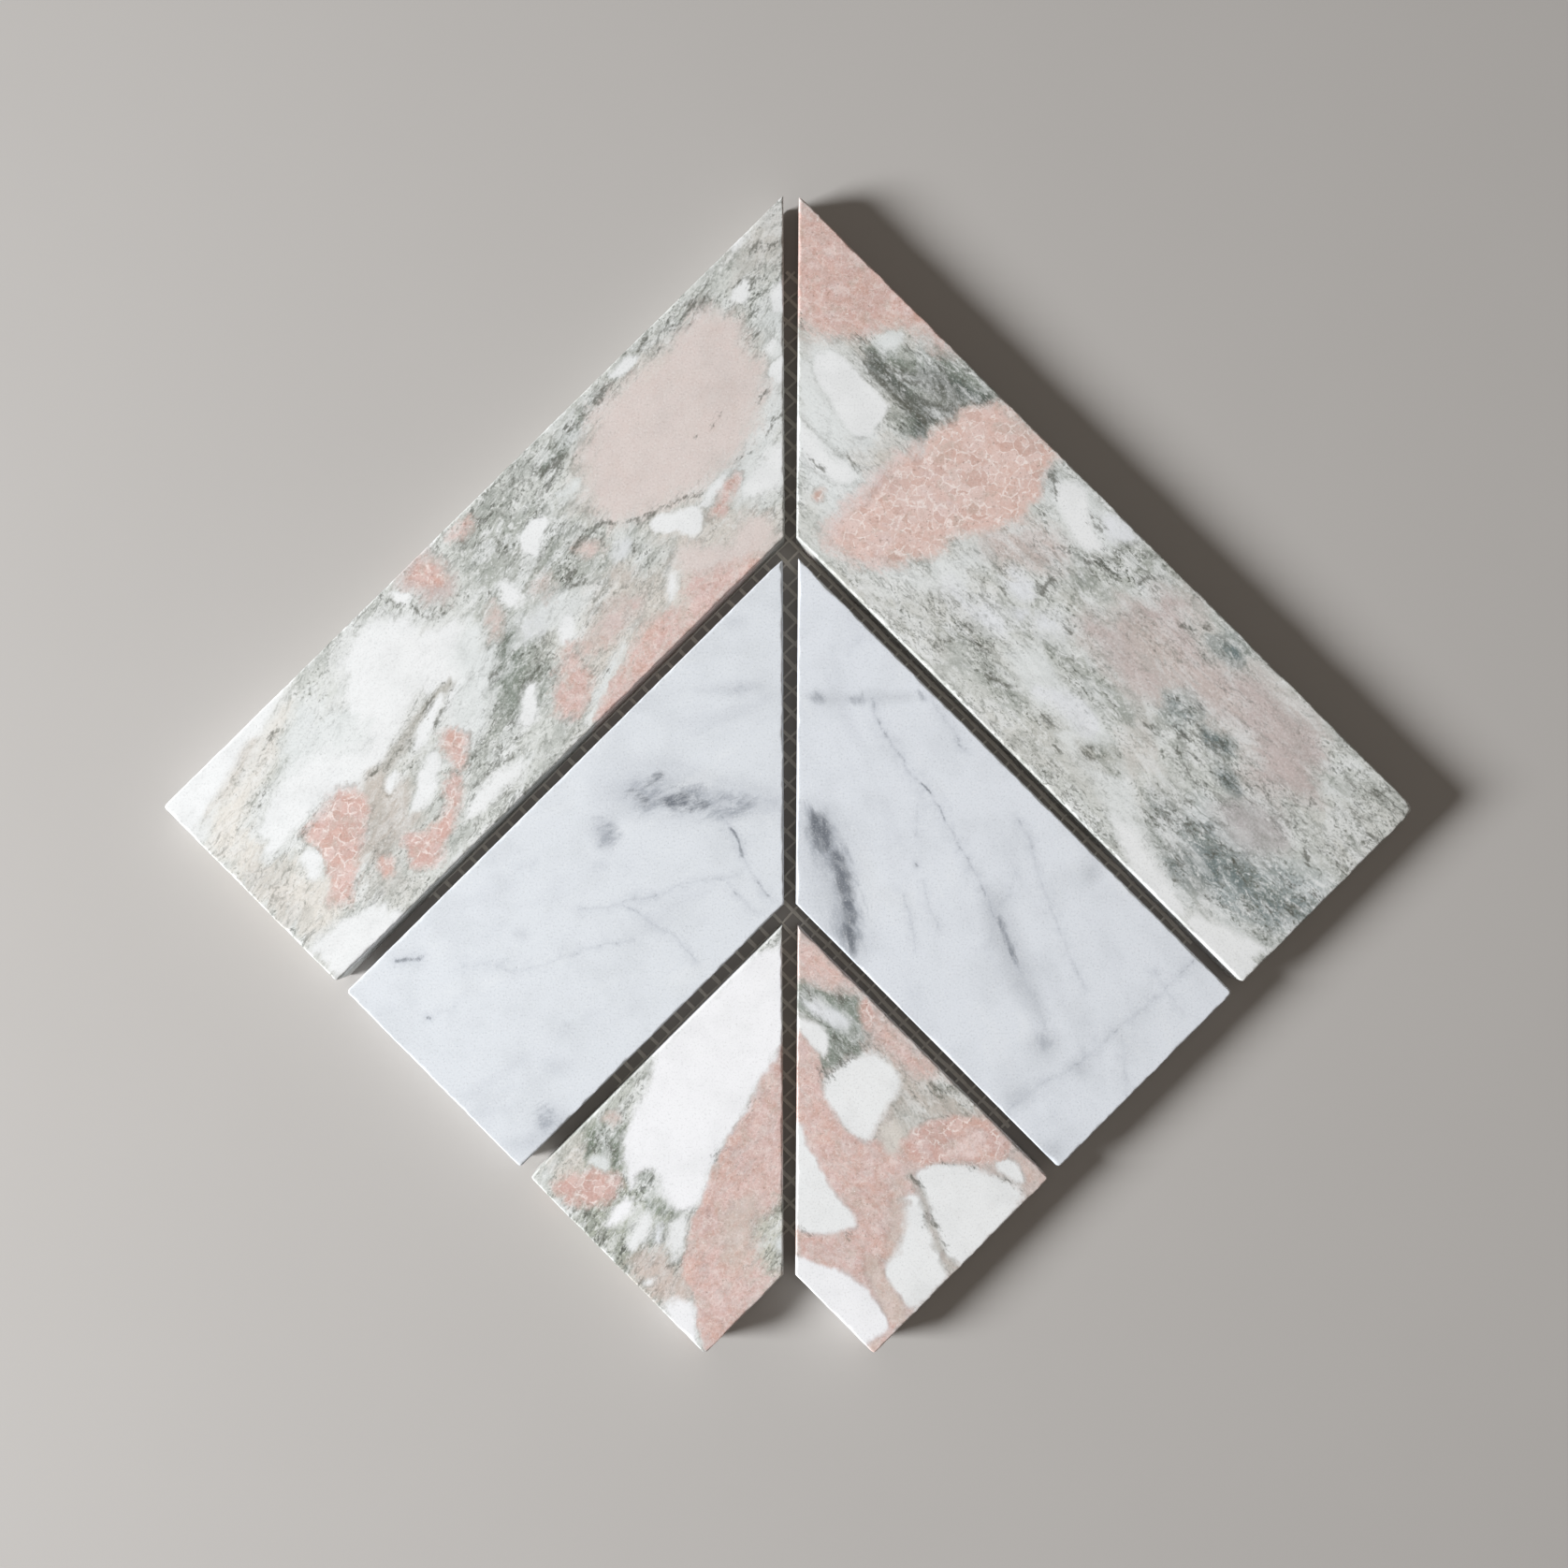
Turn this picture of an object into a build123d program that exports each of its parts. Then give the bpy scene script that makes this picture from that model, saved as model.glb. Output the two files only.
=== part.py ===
"""Marble mosaic tile: three chevron rows of mitred marble strips on a glass-fibre net, lying face up."""

import os
from math import cos, floor, radians

from build123d import *

# Strips of stone, in millimetres
strip_width = 59.7
strip_thickness = 10.0
shortest_edge = 85.8
end_corner_radius = 1.0
arris_radius = 0.6

# Open joints between the strips. The spine closes from the mitred points to the heels of the mitres.
row_joint = 3.4
spine_joint_at_points = 3.8
spine_joint_at_heels = 2.9

# Net: broad flat yarns run down to the right, thin yarns run down to the left
broad_yarn_width = 1.1
broad_yarn_thickness = 0.3
broad_yarn_pitch = 4.3
thin_yarn_width = 0.65
thin_yarn_thickness = 0.2
thin_yarn_pitch = 3.9
yarn_overhang = 1.5

# Bare stone left round the net
top_margin = 13.0
left_end_margin = 27.0
right_end_margin = 13.0
notch_margin = 5.0

# Measures that follow from the ones above
diagonal = cos(radians(45))
row_pitch = strip_width + row_joint
longest_edge = shortest_edge + 2 * row_pitch
mitre_run = strip_width - (spine_joint_at_points - spine_joint_at_heels) / 2 / diagonal
net_thickness = broad_yarn_thickness + thin_yarn_thickness
sharp_height = (longest_edge + strip_width + 2 * row_pitch) * diagonal
corner_loss = end_corner_radius * (1 / diagonal - 1)
point_y = (sharp_height - corner_loss) / 2

os.makedirs("parts", exist_ok=True)

# Six strips in three rows. Each is a parallel-sided slab with one mitred end at the spine and one square
# end at the side of the tile. A strip is a row's pitch shorter than the one above it, so that the
# square ends line up.
for row, row_name in enumerate(("upper", "middle", "lower")):
    row_offset = row * row_pitch
    outer_edge = longest_edge - row_offset
    for side, side_name in ((-1, "left"), (1, "right")):
        # Across the strip, towards the notch: the plane's Y runs the opposite way on the right
        across = -side * strip_width
        strip_plane = Plane(
            origin=(side * spine_joint_at_points / 2, point_y - row_offset / diagonal, net_thickness),
            x_dir=(side, -1, 0),
            z_dir=(0, 0, 1),
        )
        with BuildPart() as strip:
            with BuildSketch(strip_plane):
                with BuildLine():
                    Polyline((0, 0), (outer_edge, 0), (outer_edge, across), (mitre_run, across), close=True)
                make_face()
            extrude(amount=strip_thickness)
            # The two corners of the square end are rounded a little
            run_axis = Axis(strip_plane.origin, strip_plane.x_dir)
            fillet(strip.edges().filter_by(Axis.Z).group_by(run_axis)[-1], end_corner_radius)
            # Eased arris round the honed face, carried over the sharp mitred point
            fillet(strip.faces().sort_by(Axis.Z)[-1].edges(), arris_radius)
        strip.part.label = f"{row_name}_{side_name}_strip"
        export_step(strip.part, f"parts/{row_name}_{side_name}_strip.step")

# The net is measured from its first crossing, below the spine's top end: X down to the right, Y up to
# the right. Its edges lie inside the outline, and a corner is cut away over the notch of the tile.
joint_reach = spine_joint_at_points / 2 * diagonal
first_crossing = point_y - (top_margin - joint_reach) / diagonal
square_span = longest_edge + 2 * joint_reach
notch_span = 2 * row_pitch + strip_width - top_margin - notch_margin
broad_yarn_count = floor((square_span - top_margin - left_end_margin) / broad_yarn_pitch) + 1
thin_yarn_count = floor((square_span - top_margin - right_end_margin) / thin_yarn_pitch) + 1
broad_yarns_full = min(broad_yarn_count, floor(notch_span / broad_yarn_pitch) + 1)
thin_yarns_full = min(thin_yarn_count, floor(notch_span / thin_yarn_pitch) + 1)
broad_run = (thin_yarn_count - 1) * thin_yarn_pitch + 2 * yarn_overhang
broad_short_run = (thin_yarns_full - 1) * thin_yarn_pitch + 2 * yarn_overhang
thin_run = (broad_yarn_count - 1) * broad_yarn_pitch + 2 * yarn_overhang
thin_short_run = (broad_yarns_full - 1) * broad_yarn_pitch + 2 * yarn_overhang

# Broad yarns, the lower layer: flat ribbons that lie on the floor
broad_plane = Plane(origin=(0, first_crossing, 0), x_dir=(1, -1, 0), z_dir=(0, 0, 1))
with BuildPart() as broad_yarns:
    with BuildSketch(broad_plane):
        for yarn in range(broad_yarn_count):
            run = broad_run if yarn < broad_yarns_full else broad_short_run
            with Locations((-yarn_overhang, -yarn * broad_yarn_pitch)):
                Rectangle(run, broad_yarn_width, align=(Align.MIN, Align.CENTER))
    extrude(amount=broad_yarn_thickness)
broad_yarns.part.label = "broad_net_yarns"
export_step(broad_yarns.part, "parts/broad_net_yarns.step")

# Thin yarns, the upper layer: laid across the broad ones and glued under the stone
thin_plane = broad_plane.offset(broad_yarn_thickness)
with BuildPart() as thin_yarns:
    with BuildSketch(thin_plane):
        for yarn in range(thin_yarn_count):
            run = thin_run if yarn < thin_yarns_full else thin_short_run
            with Locations((yarn * thin_yarn_pitch, yarn_overhang)):
                Rectangle(thin_yarn_width, run, align=(Align.CENTER, Align.MAX))
    extrude(amount=thin_yarn_thickness)
thin_yarns.part.label = "thin_net_yarns"
export_step(thin_yarns.part, "parts/thin_net_yarns.step")
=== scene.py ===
from math import cos, pi, radians, sin, sqrt

import bmesh
import bpy
import numpy as np
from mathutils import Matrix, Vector


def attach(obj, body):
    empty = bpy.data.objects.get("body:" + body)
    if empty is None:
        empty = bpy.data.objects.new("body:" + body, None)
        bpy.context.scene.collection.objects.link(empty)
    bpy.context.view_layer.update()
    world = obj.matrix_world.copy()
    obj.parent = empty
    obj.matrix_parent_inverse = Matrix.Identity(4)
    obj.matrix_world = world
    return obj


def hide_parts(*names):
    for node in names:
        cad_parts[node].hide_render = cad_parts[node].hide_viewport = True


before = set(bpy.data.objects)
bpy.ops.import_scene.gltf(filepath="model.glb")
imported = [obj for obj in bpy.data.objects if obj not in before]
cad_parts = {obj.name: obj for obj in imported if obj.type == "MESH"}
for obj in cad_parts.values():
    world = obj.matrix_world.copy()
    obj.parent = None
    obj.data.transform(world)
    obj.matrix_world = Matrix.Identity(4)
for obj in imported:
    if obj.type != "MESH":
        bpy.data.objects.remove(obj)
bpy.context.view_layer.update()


# Broad yarns of the backing net: flat rovings of glass fibre, stiffened with a clear size, that run down
# to the right under all the strips. They go over and under the thin yarns, and the strips are glued to them.
mm = 0.001
diagonal = sqrt(0.5)
down_right = Vector((diagonal, -diagonal, 0))
down_left = Vector((-diagonal, -diagonal, 0))
first_crossing = Vector((0, 123.987, 0))
net_middle = 0.25
yarn_overhang = 1.5
length_at_notch = 170.7
broad_pitch = 4.3
thin_pitch = 3.9
broad_count = 41
broad_length = 190.2
broad_yarn_colour = (246, 243, 235)
yarn_rings = 95
crease_angle = radians(38)


def linear(colour):
    """A colour given as 8-bit screen values, as the light values that Blender mixes."""
    screen = np.asarray(colour, float) / 255
    return np.where(screen < 0.04045, screen / 12.92, ((screen + 0.055) / 1.055) ** 2.4)


def put(tree, kind, values=None, **settings):
    """Adds a node to a tree. Values are numbers, colours or other nodes' outputs, by input."""
    node = tree.nodes.new("ShaderNode" + kind)
    for name, setting in settings.items():
        setattr(node, name, setting)
    for socket, value in (values or {}).items():
        if isinstance(value, bpy.types.NodeSocket):
            tree.links.new(value, node.inputs[socket])
        else:
            node.inputs[socket].default_value = value
    return node


def calc(tree, operation, first, second=0.0):
    return put(tree, "Math", {0: first, 1: second}, operation=operation).outputs[0]


def ramp(tree, value, start, end, low=0.0, high=1.0):
    """Low where the value is at start, high where it is at end, and smooth between."""
    values = {"Value": value, "From Min": start, "From Max": end, "To Min": low, "To Max": high}
    return put(tree, "MapRange", values, interpolation_type="SMOOTHSTEP").outputs["Result"]


def blend(tree, share, first, second, mode="MIX"):
    """The first colour with a share of the second mixed in."""
    first, second = [c if isinstance(c, bpy.types.NodeSocket) else (*linear(c), 1) for c in (first, second)]
    values = {0: share, 6: first, 7: second}
    return put(tree, "Mix", values, data_type="RGBA", blend_type=mode).outputs[2]


def noise(tree, place, scale, detail=3.0, roughness=0.55, curl=0.0):
    values = {"Vector": place, "Scale": scale, "Detail": detail, "Roughness": roughness, "Distortion": curl}
    return put(tree, "TexNoise", values).outputs["Fac"]


def new_material(name):
    material = bpy.data.materials.new(name)
    material.use_nodes = True
    tree = material.node_tree
    object_place = put(tree, "TexCoord").outputs["Object"]
    place = put(tree, "VectorMath", {0: object_place, 3: 1000.0}, operation="SCALE").outputs[0]
    return material, tree, tree.nodes["Principled BSDF"], place


def drawn_out(tree, place, degrees, grain):
    """Places turned to run at so many degrees from the X axis, with grains of the given size along it."""
    values = {"Vector": place, "Rotation": (0, 0, radians(degrees)), "Scale": grain}
    return put(tree, "Mapping", values, vector_type="TEXTURE").outputs[0]


def fibre_material(name, colour, degrees):
    """Glass fibre roving: fine filaments along the yarn, with dust and glue between them."""
    material, tree, shader, place = new_material(name)
    filaments = noise(tree, drawn_out(tree, place, degrees, (3, 0.11, 0.11)), 1.0, 4)
    dust = noise(tree, place, 0.35, 4)
    shade = blend(tree, ramp(tree, filaments, 0.35, 0.68), [c * 0.9 for c in colour], colour)
    shade = blend(tree, ramp(tree, dust, 0.55, 0.75, 0, 0.35), shade, (178, 170, 158))
    tree.links.new(shade, shader.inputs["Base Color"])
    shader.inputs["Roughness"].default_value = 0.55
    bump = put(tree, "Bump", {"Height": filaments, "Strength": 0.7, "Distance": 0.0001})
    tree.links.new(bump.outputs[0], shader.inputs["Normal"])
    return material


def straight_yarn():
    """One yarn of unit length and width, as a flat six-sided rod with enough rings to bend."""
    bm = bmesh.new()
    bmesh.ops.create_cone(bm, cap_ends=True, segments=6, radius1=0.5, radius2=0.5, depth=1)
    sides = [e for e in bm.edges if abs(e.verts[0].co.z - e.verts[1].co.z) > 0.5]
    bmesh.ops.subdivide_edges(bm, edges=sides, cuts=yarn_rings)
    mesh = bpy.data.meshes.new("straight_yarn")
    bm.to_mesh(mesh)
    bm.free()
    return mesh


def woven_yarns(name, count, run, step, length, shortened, width, thickness, lift, crossing_pitch):
    """A set of parallel yarns in one mesh. The last few are shortened by the notch. Lift is how far a yarn
    rises or dips at each crossing."""
    bm = bmesh.new()
    pattern = straight_yarn()
    for k in range(count):
        reach = length if k < count - shortened else length_at_notch
        begin = first_crossing + step * k - run * yarn_overhang
        across = Vector((-run.y, run.x, 0))
        done = len(bm.verts)
        bm.from_mesh(pattern)
        bm.verts.ensure_lookup_table()
        for vert in bm.verts[done:]:
            x, y, z = vert.co
            s = (z + 0.5) * reach
            rise = lift * cos(pi * ((s - yarn_overhang) / crossing_pitch + k))
            drift = 0.16 * sin(0.11 * s + 2.4 * k) + 0.08 * sin(0.43 * s + 1.1 * k)
            spread = width * (1 + 0.13 * sin(0.31 * s + 1.9 * k))
            vert.co = begin + run * s + across * (drift + x * spread)
            vert.co.z = net_middle + rise + y * thickness
    bpy.data.meshes.remove(pattern)
    return finished(name, bm)


def finished(name, bm):
    """The object made from a mesh drawn in millimetres in the row frame."""
    bmesh.ops.recalc_face_normals(bm, faces=bm.faces)
    bmesh.ops.scale(bm, vec=(mm, mm, mm), verts=bm.verts)
    mesh = bpy.data.meshes.new(name)
    bm.to_mesh(mesh)
    bm.free()
    mesh.polygons.foreach_set("use_smooth", [True] * len(mesh.polygons))
    mesh.set_sharp_from_angle(angle=crease_angle)
    piece = bpy.data.objects.new(name, mesh)
    bpy.context.scene.collection.objects.link(piece)
    return piece


broad_yarns = woven_yarns("broad_yarns", broad_count, down_right, down_left * broad_pitch, broad_length,
                          shortened=1, width=1.05, thickness=0.24, lift=-0.115, crossing_pitch=thin_pitch)
broad_yarns.data.materials.append(fibre_material("broad_glass_fibre", broad_yarn_colour, -45))
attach(broad_yarns, "root")
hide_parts("broad_net_yarns")


# Thin yarns of the backing net: narrower glass fibre rovings that run down to the left, woven one over and
# one under through the broad ones, and set at the crossings by the same clear size.
thin_count = 49
thin_length = 175.0
thin_yarn_colour = (245, 242, 235)

thin_yarns = woven_yarns("thin_yarns", thin_count, down_left, down_right * thin_pitch, thin_length,
                         shortened=5, width=0.62, thickness=0.19, lift=0.135, crossing_pitch=broad_pitch)
thin_yarns.data.materials.append(fibre_material("thin_glass_fibre", thin_yarn_colour, 45))
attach(thin_yarns, "root")
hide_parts("thin_net_yarns")


# Upper strips: two long strips of a rose and green brecciated marble, sawn from slab, mitred to a point at
# the spine and honed on the face, with an eased arris round the face and glue under the back.
strip_width = 59.7
strip_thickness = 10.0
left, right = -1, 1
upper_row = 0
longest_edge = 212.0
row_pitch = 63.1
mitre_run = 59.0636
tile_point_y = 140.4718
half_point_joint = 1.9
net_thickness = 0.5
arris_radius = 0.6
end_corner_radius = 1.0
arris_cuts = (0.1, 0.3, 0.6)
mesh_cell = 0.45
side_levels = (7.6, 5.2, 2.6, 0)
breccia_grain = (2.4, 1, 1)
face_wander = 0.4
cloud_pull = 2.2
side_lean = (0.35, 0.2)
clast_grit = 0.2
seam_depth = 0.9
mottle_through = 0.8
honed_depth = 0.8

# Each tone is a colour, how strongly dark mottling breaks it up, and how crystalline it looks.
tones = {
    "white": ((239, 241, 242), 0.06, 0.0),
    # Painted light: a brighter copy of the white, for the white zones of the lower strips, so that they read
    # as more strongly lit.
    "painted_lit_white": ((247, 248, 251), 0.04, 0.0),
    "milk": ((229, 233, 233), 0.22, 0.0),
    "cool_white": ((232, 235, 239), 0.25, 0.0),
    "lilac_grey": ((192, 188, 188), 0.4, 0.1),
    "ash": ((216, 218, 214), 0.4, 0.0),
    "pale_green": ((213, 216, 212), 0.75, 0.0),
    "grey_green": ((184, 188, 182), 1.0, 0.0),
    "deep_green": ((138, 147, 138), 0.75, 0.0),
    "dark_green": ((66, 78, 72), 0.6, 0.0),
    "olive": ((182, 187, 174), 1.0, 0.0),
    "pale_olive": ((202, 202, 190), 0.75, 0.0),
    "deep_olive": ((128, 139, 124), 0.8, 0.0),
    "blue_green": ((160, 170, 171), 1.0, 0.0),
    "deep_blue": ((112, 126, 127), 0.75, 0.0),
    "beige": ((217, 212, 205), 0.45, 0.1),
    "pale_beige": ((230, 226, 219), 0.4, 0.05),
    "warm_grey": ((210, 208, 203), 0.5, 0.0),
    "brown_grey": ((199, 191, 183), 0.45, 0.1),
    "lavender": ((222, 225, 227), 0.45, 0.0),
    "peach": ((222, 211, 207), 0.12, 0.14),
    "shell": ((232, 210, 206), 0.3, 0.35),
    "vein_beige": ((192, 190, 183), 0.35, 0.0),
    "rose_beige": ((211, 195, 186), 0.35, 0.3),
    "rose_grey": ((203, 190, 187), 0.3, 0.2),
    "pale_rose": ((208, 195, 190), 0.5, 0.3),
    "salmon": ((218, 188, 182), 0.42, 0.5),
    "rose": ((216, 182, 174), 0.2, 0.5),
    "orange_rose": ((227, 198, 189), 0.1, 1.0),
    "deep_salmon": ((210, 172, 163), 0.25, 0.9),
}


def group_of_nodes(name, inputs, outputs):
    """An empty shader node group with named sockets."""
    tree = bpy.data.node_groups.new(name, "ShaderNodeTree")
    for way, sockets in (("INPUT", inputs), ("OUTPUT", outputs)):
        for socket, kind in sockets.items():
            tree.interface.new_socket(socket, in_out=way, socket_type="NodeSocket" + kind)
    entry = tree.nodes.new("NodeGroupInput").outputs
    exit_node = tree.nodes.new("NodeGroupOutput").inputs
    return tree, entry, exit_node


def placed(tree, group, values):
    return put(tree, "Group", values, node_tree=group).outputs


def layer(tree, colour, strength, tone, *limits):
    """A colour with a tone laid over it, as strong as its own strength and all its limits allow."""
    for limit in limits:
        strength = calc(tree, "MULTIPLY", strength, limit)
    return blend(tree, strength, colour, tone)


def ragged_patch_group():
    """Turns the depth inside a patch into a mask with a torn, grainy edge, and a broken rim along it."""
    tree, given, gives = group_of_nodes(
        "ragged_patch",
        {"Depth": "Float", "Flow": "Vector", "Place": "Vector", "Tear": "Float", "Grain": "Float"},
        {"Mask": "Float", "Rim": "Float"})
    coarse = calc(tree, "SUBTRACT", noise(tree, given["Flow"], 0.24, 6, 0.7, 0.6), 0.5)
    fine = calc(tree, "SUBTRACT", noise(tree, given["Place"], 1.2, 4, 0.7), 0.5)
    torn = calc(tree, "ADD", given["Depth"], calc(tree, "MULTIPLY", coarse, given["Tear"]))
    torn = calc(tree, "ADD", torn, calc(tree, "MULTIPLY", fine, given["Grain"]))
    tree.links.new(ramp(tree, torn, -0.9, 0.9), gives["Mask"])
    near = ramp(tree, calc(tree, "ABSOLUTE", calc(tree, "ADD", torn, 0.45)), 0.0, 0.6, 1, 0)
    gaps = ramp(tree, noise(tree, given["Flow"], 0.2, 5, 0.7), 0.48, 0.62)
    tree.links.new(calc(tree, "MULTIPLY", near, gaps), gives["Rim"])
    return tree


def lenses(tree, place, scale):
    """Cells drawn out along the flow: a random share for each, and the distance to the seam round it."""
    cells = put(tree, "TexVoronoi", {"Vector": place, "Scale": scale}, feature="F1").outputs["Color"]
    edge = put(tree, "TexVoronoi", {"Vector": place, "Scale": scale}, feature="DISTANCE_TO_EDGE")
    return put(tree, "SeparateColor", {0: cells}).outputs[0], edge.outputs["Distance"]


def mottle_group():
    """Grey-green breccia: pale lenses drawn out along the flow, dark broken seams round them, short dark
    dashes, and a fine salt and pepper grain."""
    tree, given, gives = group_of_nodes(
        "green_mottle", {"Color": "Color", "Flow": "Vector", "Amount": "Float"}, {"Color": "Color"})
    flow, amount = given["Flow"], given["Amount"]
    second = put(tree, "Mapping", {"Vector": flow, "Location": (31, 17, 5)}).outputs[0]
    values = {"Vector": flow, "Scale": 0.3, "Detail": 4, "Roughness": 0.6}
    bend = put(tree, "TexNoise", values).outputs["Color"]
    bend = put(tree, "VectorMath", {0: bend, 1: (0.5, 0.5, 0.5)}, operation="SUBTRACT").outputs[0]
    bend = put(tree, "VectorMath", {0: bend, 3: 5.0}, operation="SCALE").outputs[0]
    bent = put(tree, "VectorMath", {0: flow, 1: bend}, operation="ADD").outputs[0]
    share, edge = lenses(tree, bent, 0.26)
    aside = put(tree, "Mapping", {"Vector": bent, "Location": (7, 3, 1)}).outputs[0]
    small_share, small_edge = lenses(tree, aside, 0.62)
    veil = noise(tree, flow, 0.13, 6, 0.72, 0.8)
    flecks = noise(tree, second, 0.48, 5, 0.74, 0.9)
    round_place = put(tree, "VectorMath", {0: flow, 1: (1.4, 1, 1)}, operation="MULTIPLY").outputs[0]
    grit = noise(tree, round_place, 0.85, 4, 0.72, 0.5)
    sand = noise(tree, round_place, 1.7, 3, 0.65, 0.3)
    dash_place = put(tree, "VectorMath", {0: bent, 1: (0.8, 1.4, 1)}, operation="MULTIPLY").outputs[0]
    dashes = noise(tree, dash_place, 0.8, 3, 0.55, 0.6)
    breaks = noise(tree, second, 0.45, 4, 0.65)
    clumps = noise(tree, second, 0.085, 5, 0.65, 0.6)
    warm = noise(tree, second, 0.05, 3, 0.5)
    thick = ramp(tree, clumps, 0.44, 0.58)
    broken = ramp(tree, breaks, 0.44, 0.56)
    busy = ramp(tree, noise(tree, flow, 0.17, 4, 0.6, 0.6), 0.42, 0.58, 0.12, 1)
    colour = given["Color"]
    layers = (
        (ramp(tree, warm, 0.5, 0.64, 0, 0.3), (206, 199, 190)),
        (ramp(tree, veil, 0.52, 0.62, 0, 0.45), (146, 152, 146)),
        (ramp(tree, veil, 0.48, 0.38, 0, 0.6), (236, 239, 240)),
        (ramp(tree, share, 0.5, 0.75, 0, 0.5), (236, 239, 240), ramp(tree, edge, 0.02, 0.2)),
        (ramp(tree, share, 0.35, 0.1, 0, 0.35), (128, 136, 128), ramp(tree, edge, 0.0, 0.15)),
        (ramp(tree, small_share, 0.6, 0.8, 0, 0.4), (240, 242, 242), ramp(tree, small_edge, 0.02, 0.2)),
        (ramp(tree, flecks, 0.54, 0.63, 0, 0.6), (120, 126, 118)),
        (ramp(tree, flecks, 0.45, 0.36, 0, 0.65), (239, 241, 241)),
        (ramp(tree, grit, 0.55, 0.62, 0, 0.75), (112, 117, 109), busy),
        (ramp(tree, grit, 0.44, 0.36, 0, 0.5), (241, 243, 242)),
        (ramp(tree, sand, 0.57, 0.64, 0, 0.85), (94, 97, 88), busy),
        (ramp(tree, sand, 0.43, 0.35, 0, 0.5), (245, 246, 245), busy),
        (ramp(tree, edge, 0.07, 0.015, 0, 0.65), (96, 98, 90), thick, broken),
        (ramp(tree, small_edge, 0.09, 0.02, 0, 0.5), (100, 102, 95), thick, broken),
        (ramp(tree, dashes, 0.58, 0.64, 0, 0.85), (78, 81, 73), thick),
    )
    for strength, tone, *limits in layers:
        colour = layer(tree, colour, strength, tone, *limits, amount)
    tree.links.new(colour, gives["Color"])
    return tree


def crystal_group():
    """Rose calcite: drifts of orange, pink and brown, interlocking crystals with pale joints, small dark
    pits and bright glints. Where the amount is full the crystals are two or three millimetres across."""
    tree, given, gives = group_of_nodes(
        "calcite_crystals", {"Color": "Color", "Place": "Vector", "Amount": "Float"}, {"Color": "Color"})
    place, amount = given["Place"], given["Amount"]
    other = put(tree, "Mapping", {"Vector": place, "Location": (13, 41, 3)}).outputs[0]
    some = ramp(tree, amount, 0.05, 0.5)
    drift = noise(tree, place, 0.16, 5, 0.62, 0.5)
    dull = noise(tree, other, 0.2, 5, 0.65, 0.5)
    colour = layer(tree, given["Color"], ramp(tree, drift, 0.5, 0.64, 0, 0.55), (220, 180, 166), some)
    colour = layer(tree, colour, ramp(tree, drift, 0.47, 0.34, 0, 0.55), (224, 203, 201), some)
    colour = layer(tree, colour, ramp(tree, dull, 0.52, 0.66, 0, 0.6), (196, 180, 168), some)
    large = ramp(tree, amount, 0.6, 0.95)
    fine = calc(tree, "SUBTRACT", some, calc(tree, "MULTIPLY", large, 0.6))
    for scale, strength in ((0.3, 0.55), (0.8, 0.32)):
        cloud = noise(tree, other, scale, 5, 0.66, 0.4)
        colour = layer(tree, colour, ramp(tree, cloud, 0.52, 0.62, 0, strength), (200, 164, 151), fine)
        colour = layer(tree, colour, ramp(tree, cloud, 0.48, 0.38, 0, strength), (236, 218, 212), fine)
    shift = noise(tree, place, 0.7, 3)
    shift = put(tree, "VectorMath", {0: shift, 3: 1.6}, operation="SCALE").outputs[0]
    shifted = put(tree, "VectorMath", {0: place, 1: shift}, operation="ADD").outputs[0]
    gaps = ramp(tree, noise(tree, place, 0.55, 4, 0.65), 0.4, 0.6)
    for scale, seen, depth in ((0.8, fine, 0.4), (0.37, large, 1.0)):
        share, edge = lenses(tree, shifted, scale)
        colour = layer(tree, colour, ramp(tree, share, 0.6, 1.0, 0, 0.4 * depth), (194, 154, 140), seen)
        colour = layer(tree, colour, ramp(tree, share, 0.4, 0.0, 0, 0.4 * depth), (233, 212, 207), seen)
        joints = ramp(tree, edge, 0.09, 0.02, 0, 0.85 * depth)
        colour = layer(tree, colour, joints, (248, 235, 230), gaps, seen)
    pits = ramp(tree, noise(tree, other, 1.1, 4, 0.7), 0.58, 0.68, 0, 0.55)
    colour = layer(tree, colour, pits, (146, 122, 110), some)
    glints = ramp(tree, noise(tree, place, 1.3, 3, 0.6), 0.67, 0.74, 0, 0.9)
    colour = layer(tree, colour, glints, (252, 248, 245), ramp(tree, dull, 0.42, 0.56), some)
    tree.links.new(colour, gives["Color"])
    return tree


def grain_group():
    """What the whole honed face shares: soft clouding, fine sugar grain, and open pores for the bump."""
    tree, given, gives = group_of_nodes(
        "honed_grain", {"Color": "Color", "Place": "Vector"}, {"Color": "Color", "Height": "Float"})
    cloud = noise(tree, given["Place"], 0.09, 4)
    grain = noise(tree, given["Place"], 1.9, 3, 0.7)
    colour = blend(tree, ramp(tree, cloud, 0.4, 0.7, 0, 0.14), given["Color"], (186, 188, 188), "MULTIPLY")
    colour = blend(tree, ramp(tree, grain, 0.52, 0.7, 0, 0.24), colour, (160, 160, 158), "MULTIPLY")
    colour = blend(tree, ramp(tree, grain, 0.46, 0.3, 0, 0.3), colour, (248, 249, 249))
    tree.links.new(colour, gives["Color"])
    pores = ramp(tree, noise(tree, given["Place"], 0.9, 4, 0.65), 0.66, 0.76, 0, -1)
    tree.links.new(calc(tree, "ADD", calc(tree, "MULTIPLY", grain, 0.35), pores), gives["Height"])
    return tree


ragged_patch = ragged_patch_group()
green_mottle = mottle_group()
calcite_crystals = crystal_group()
honed_grain = grain_group()


def mark(tree, name):
    return put(tree, "Attribute", attribute_name=name, attribute_type="GEOMETRY").outputs


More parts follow.
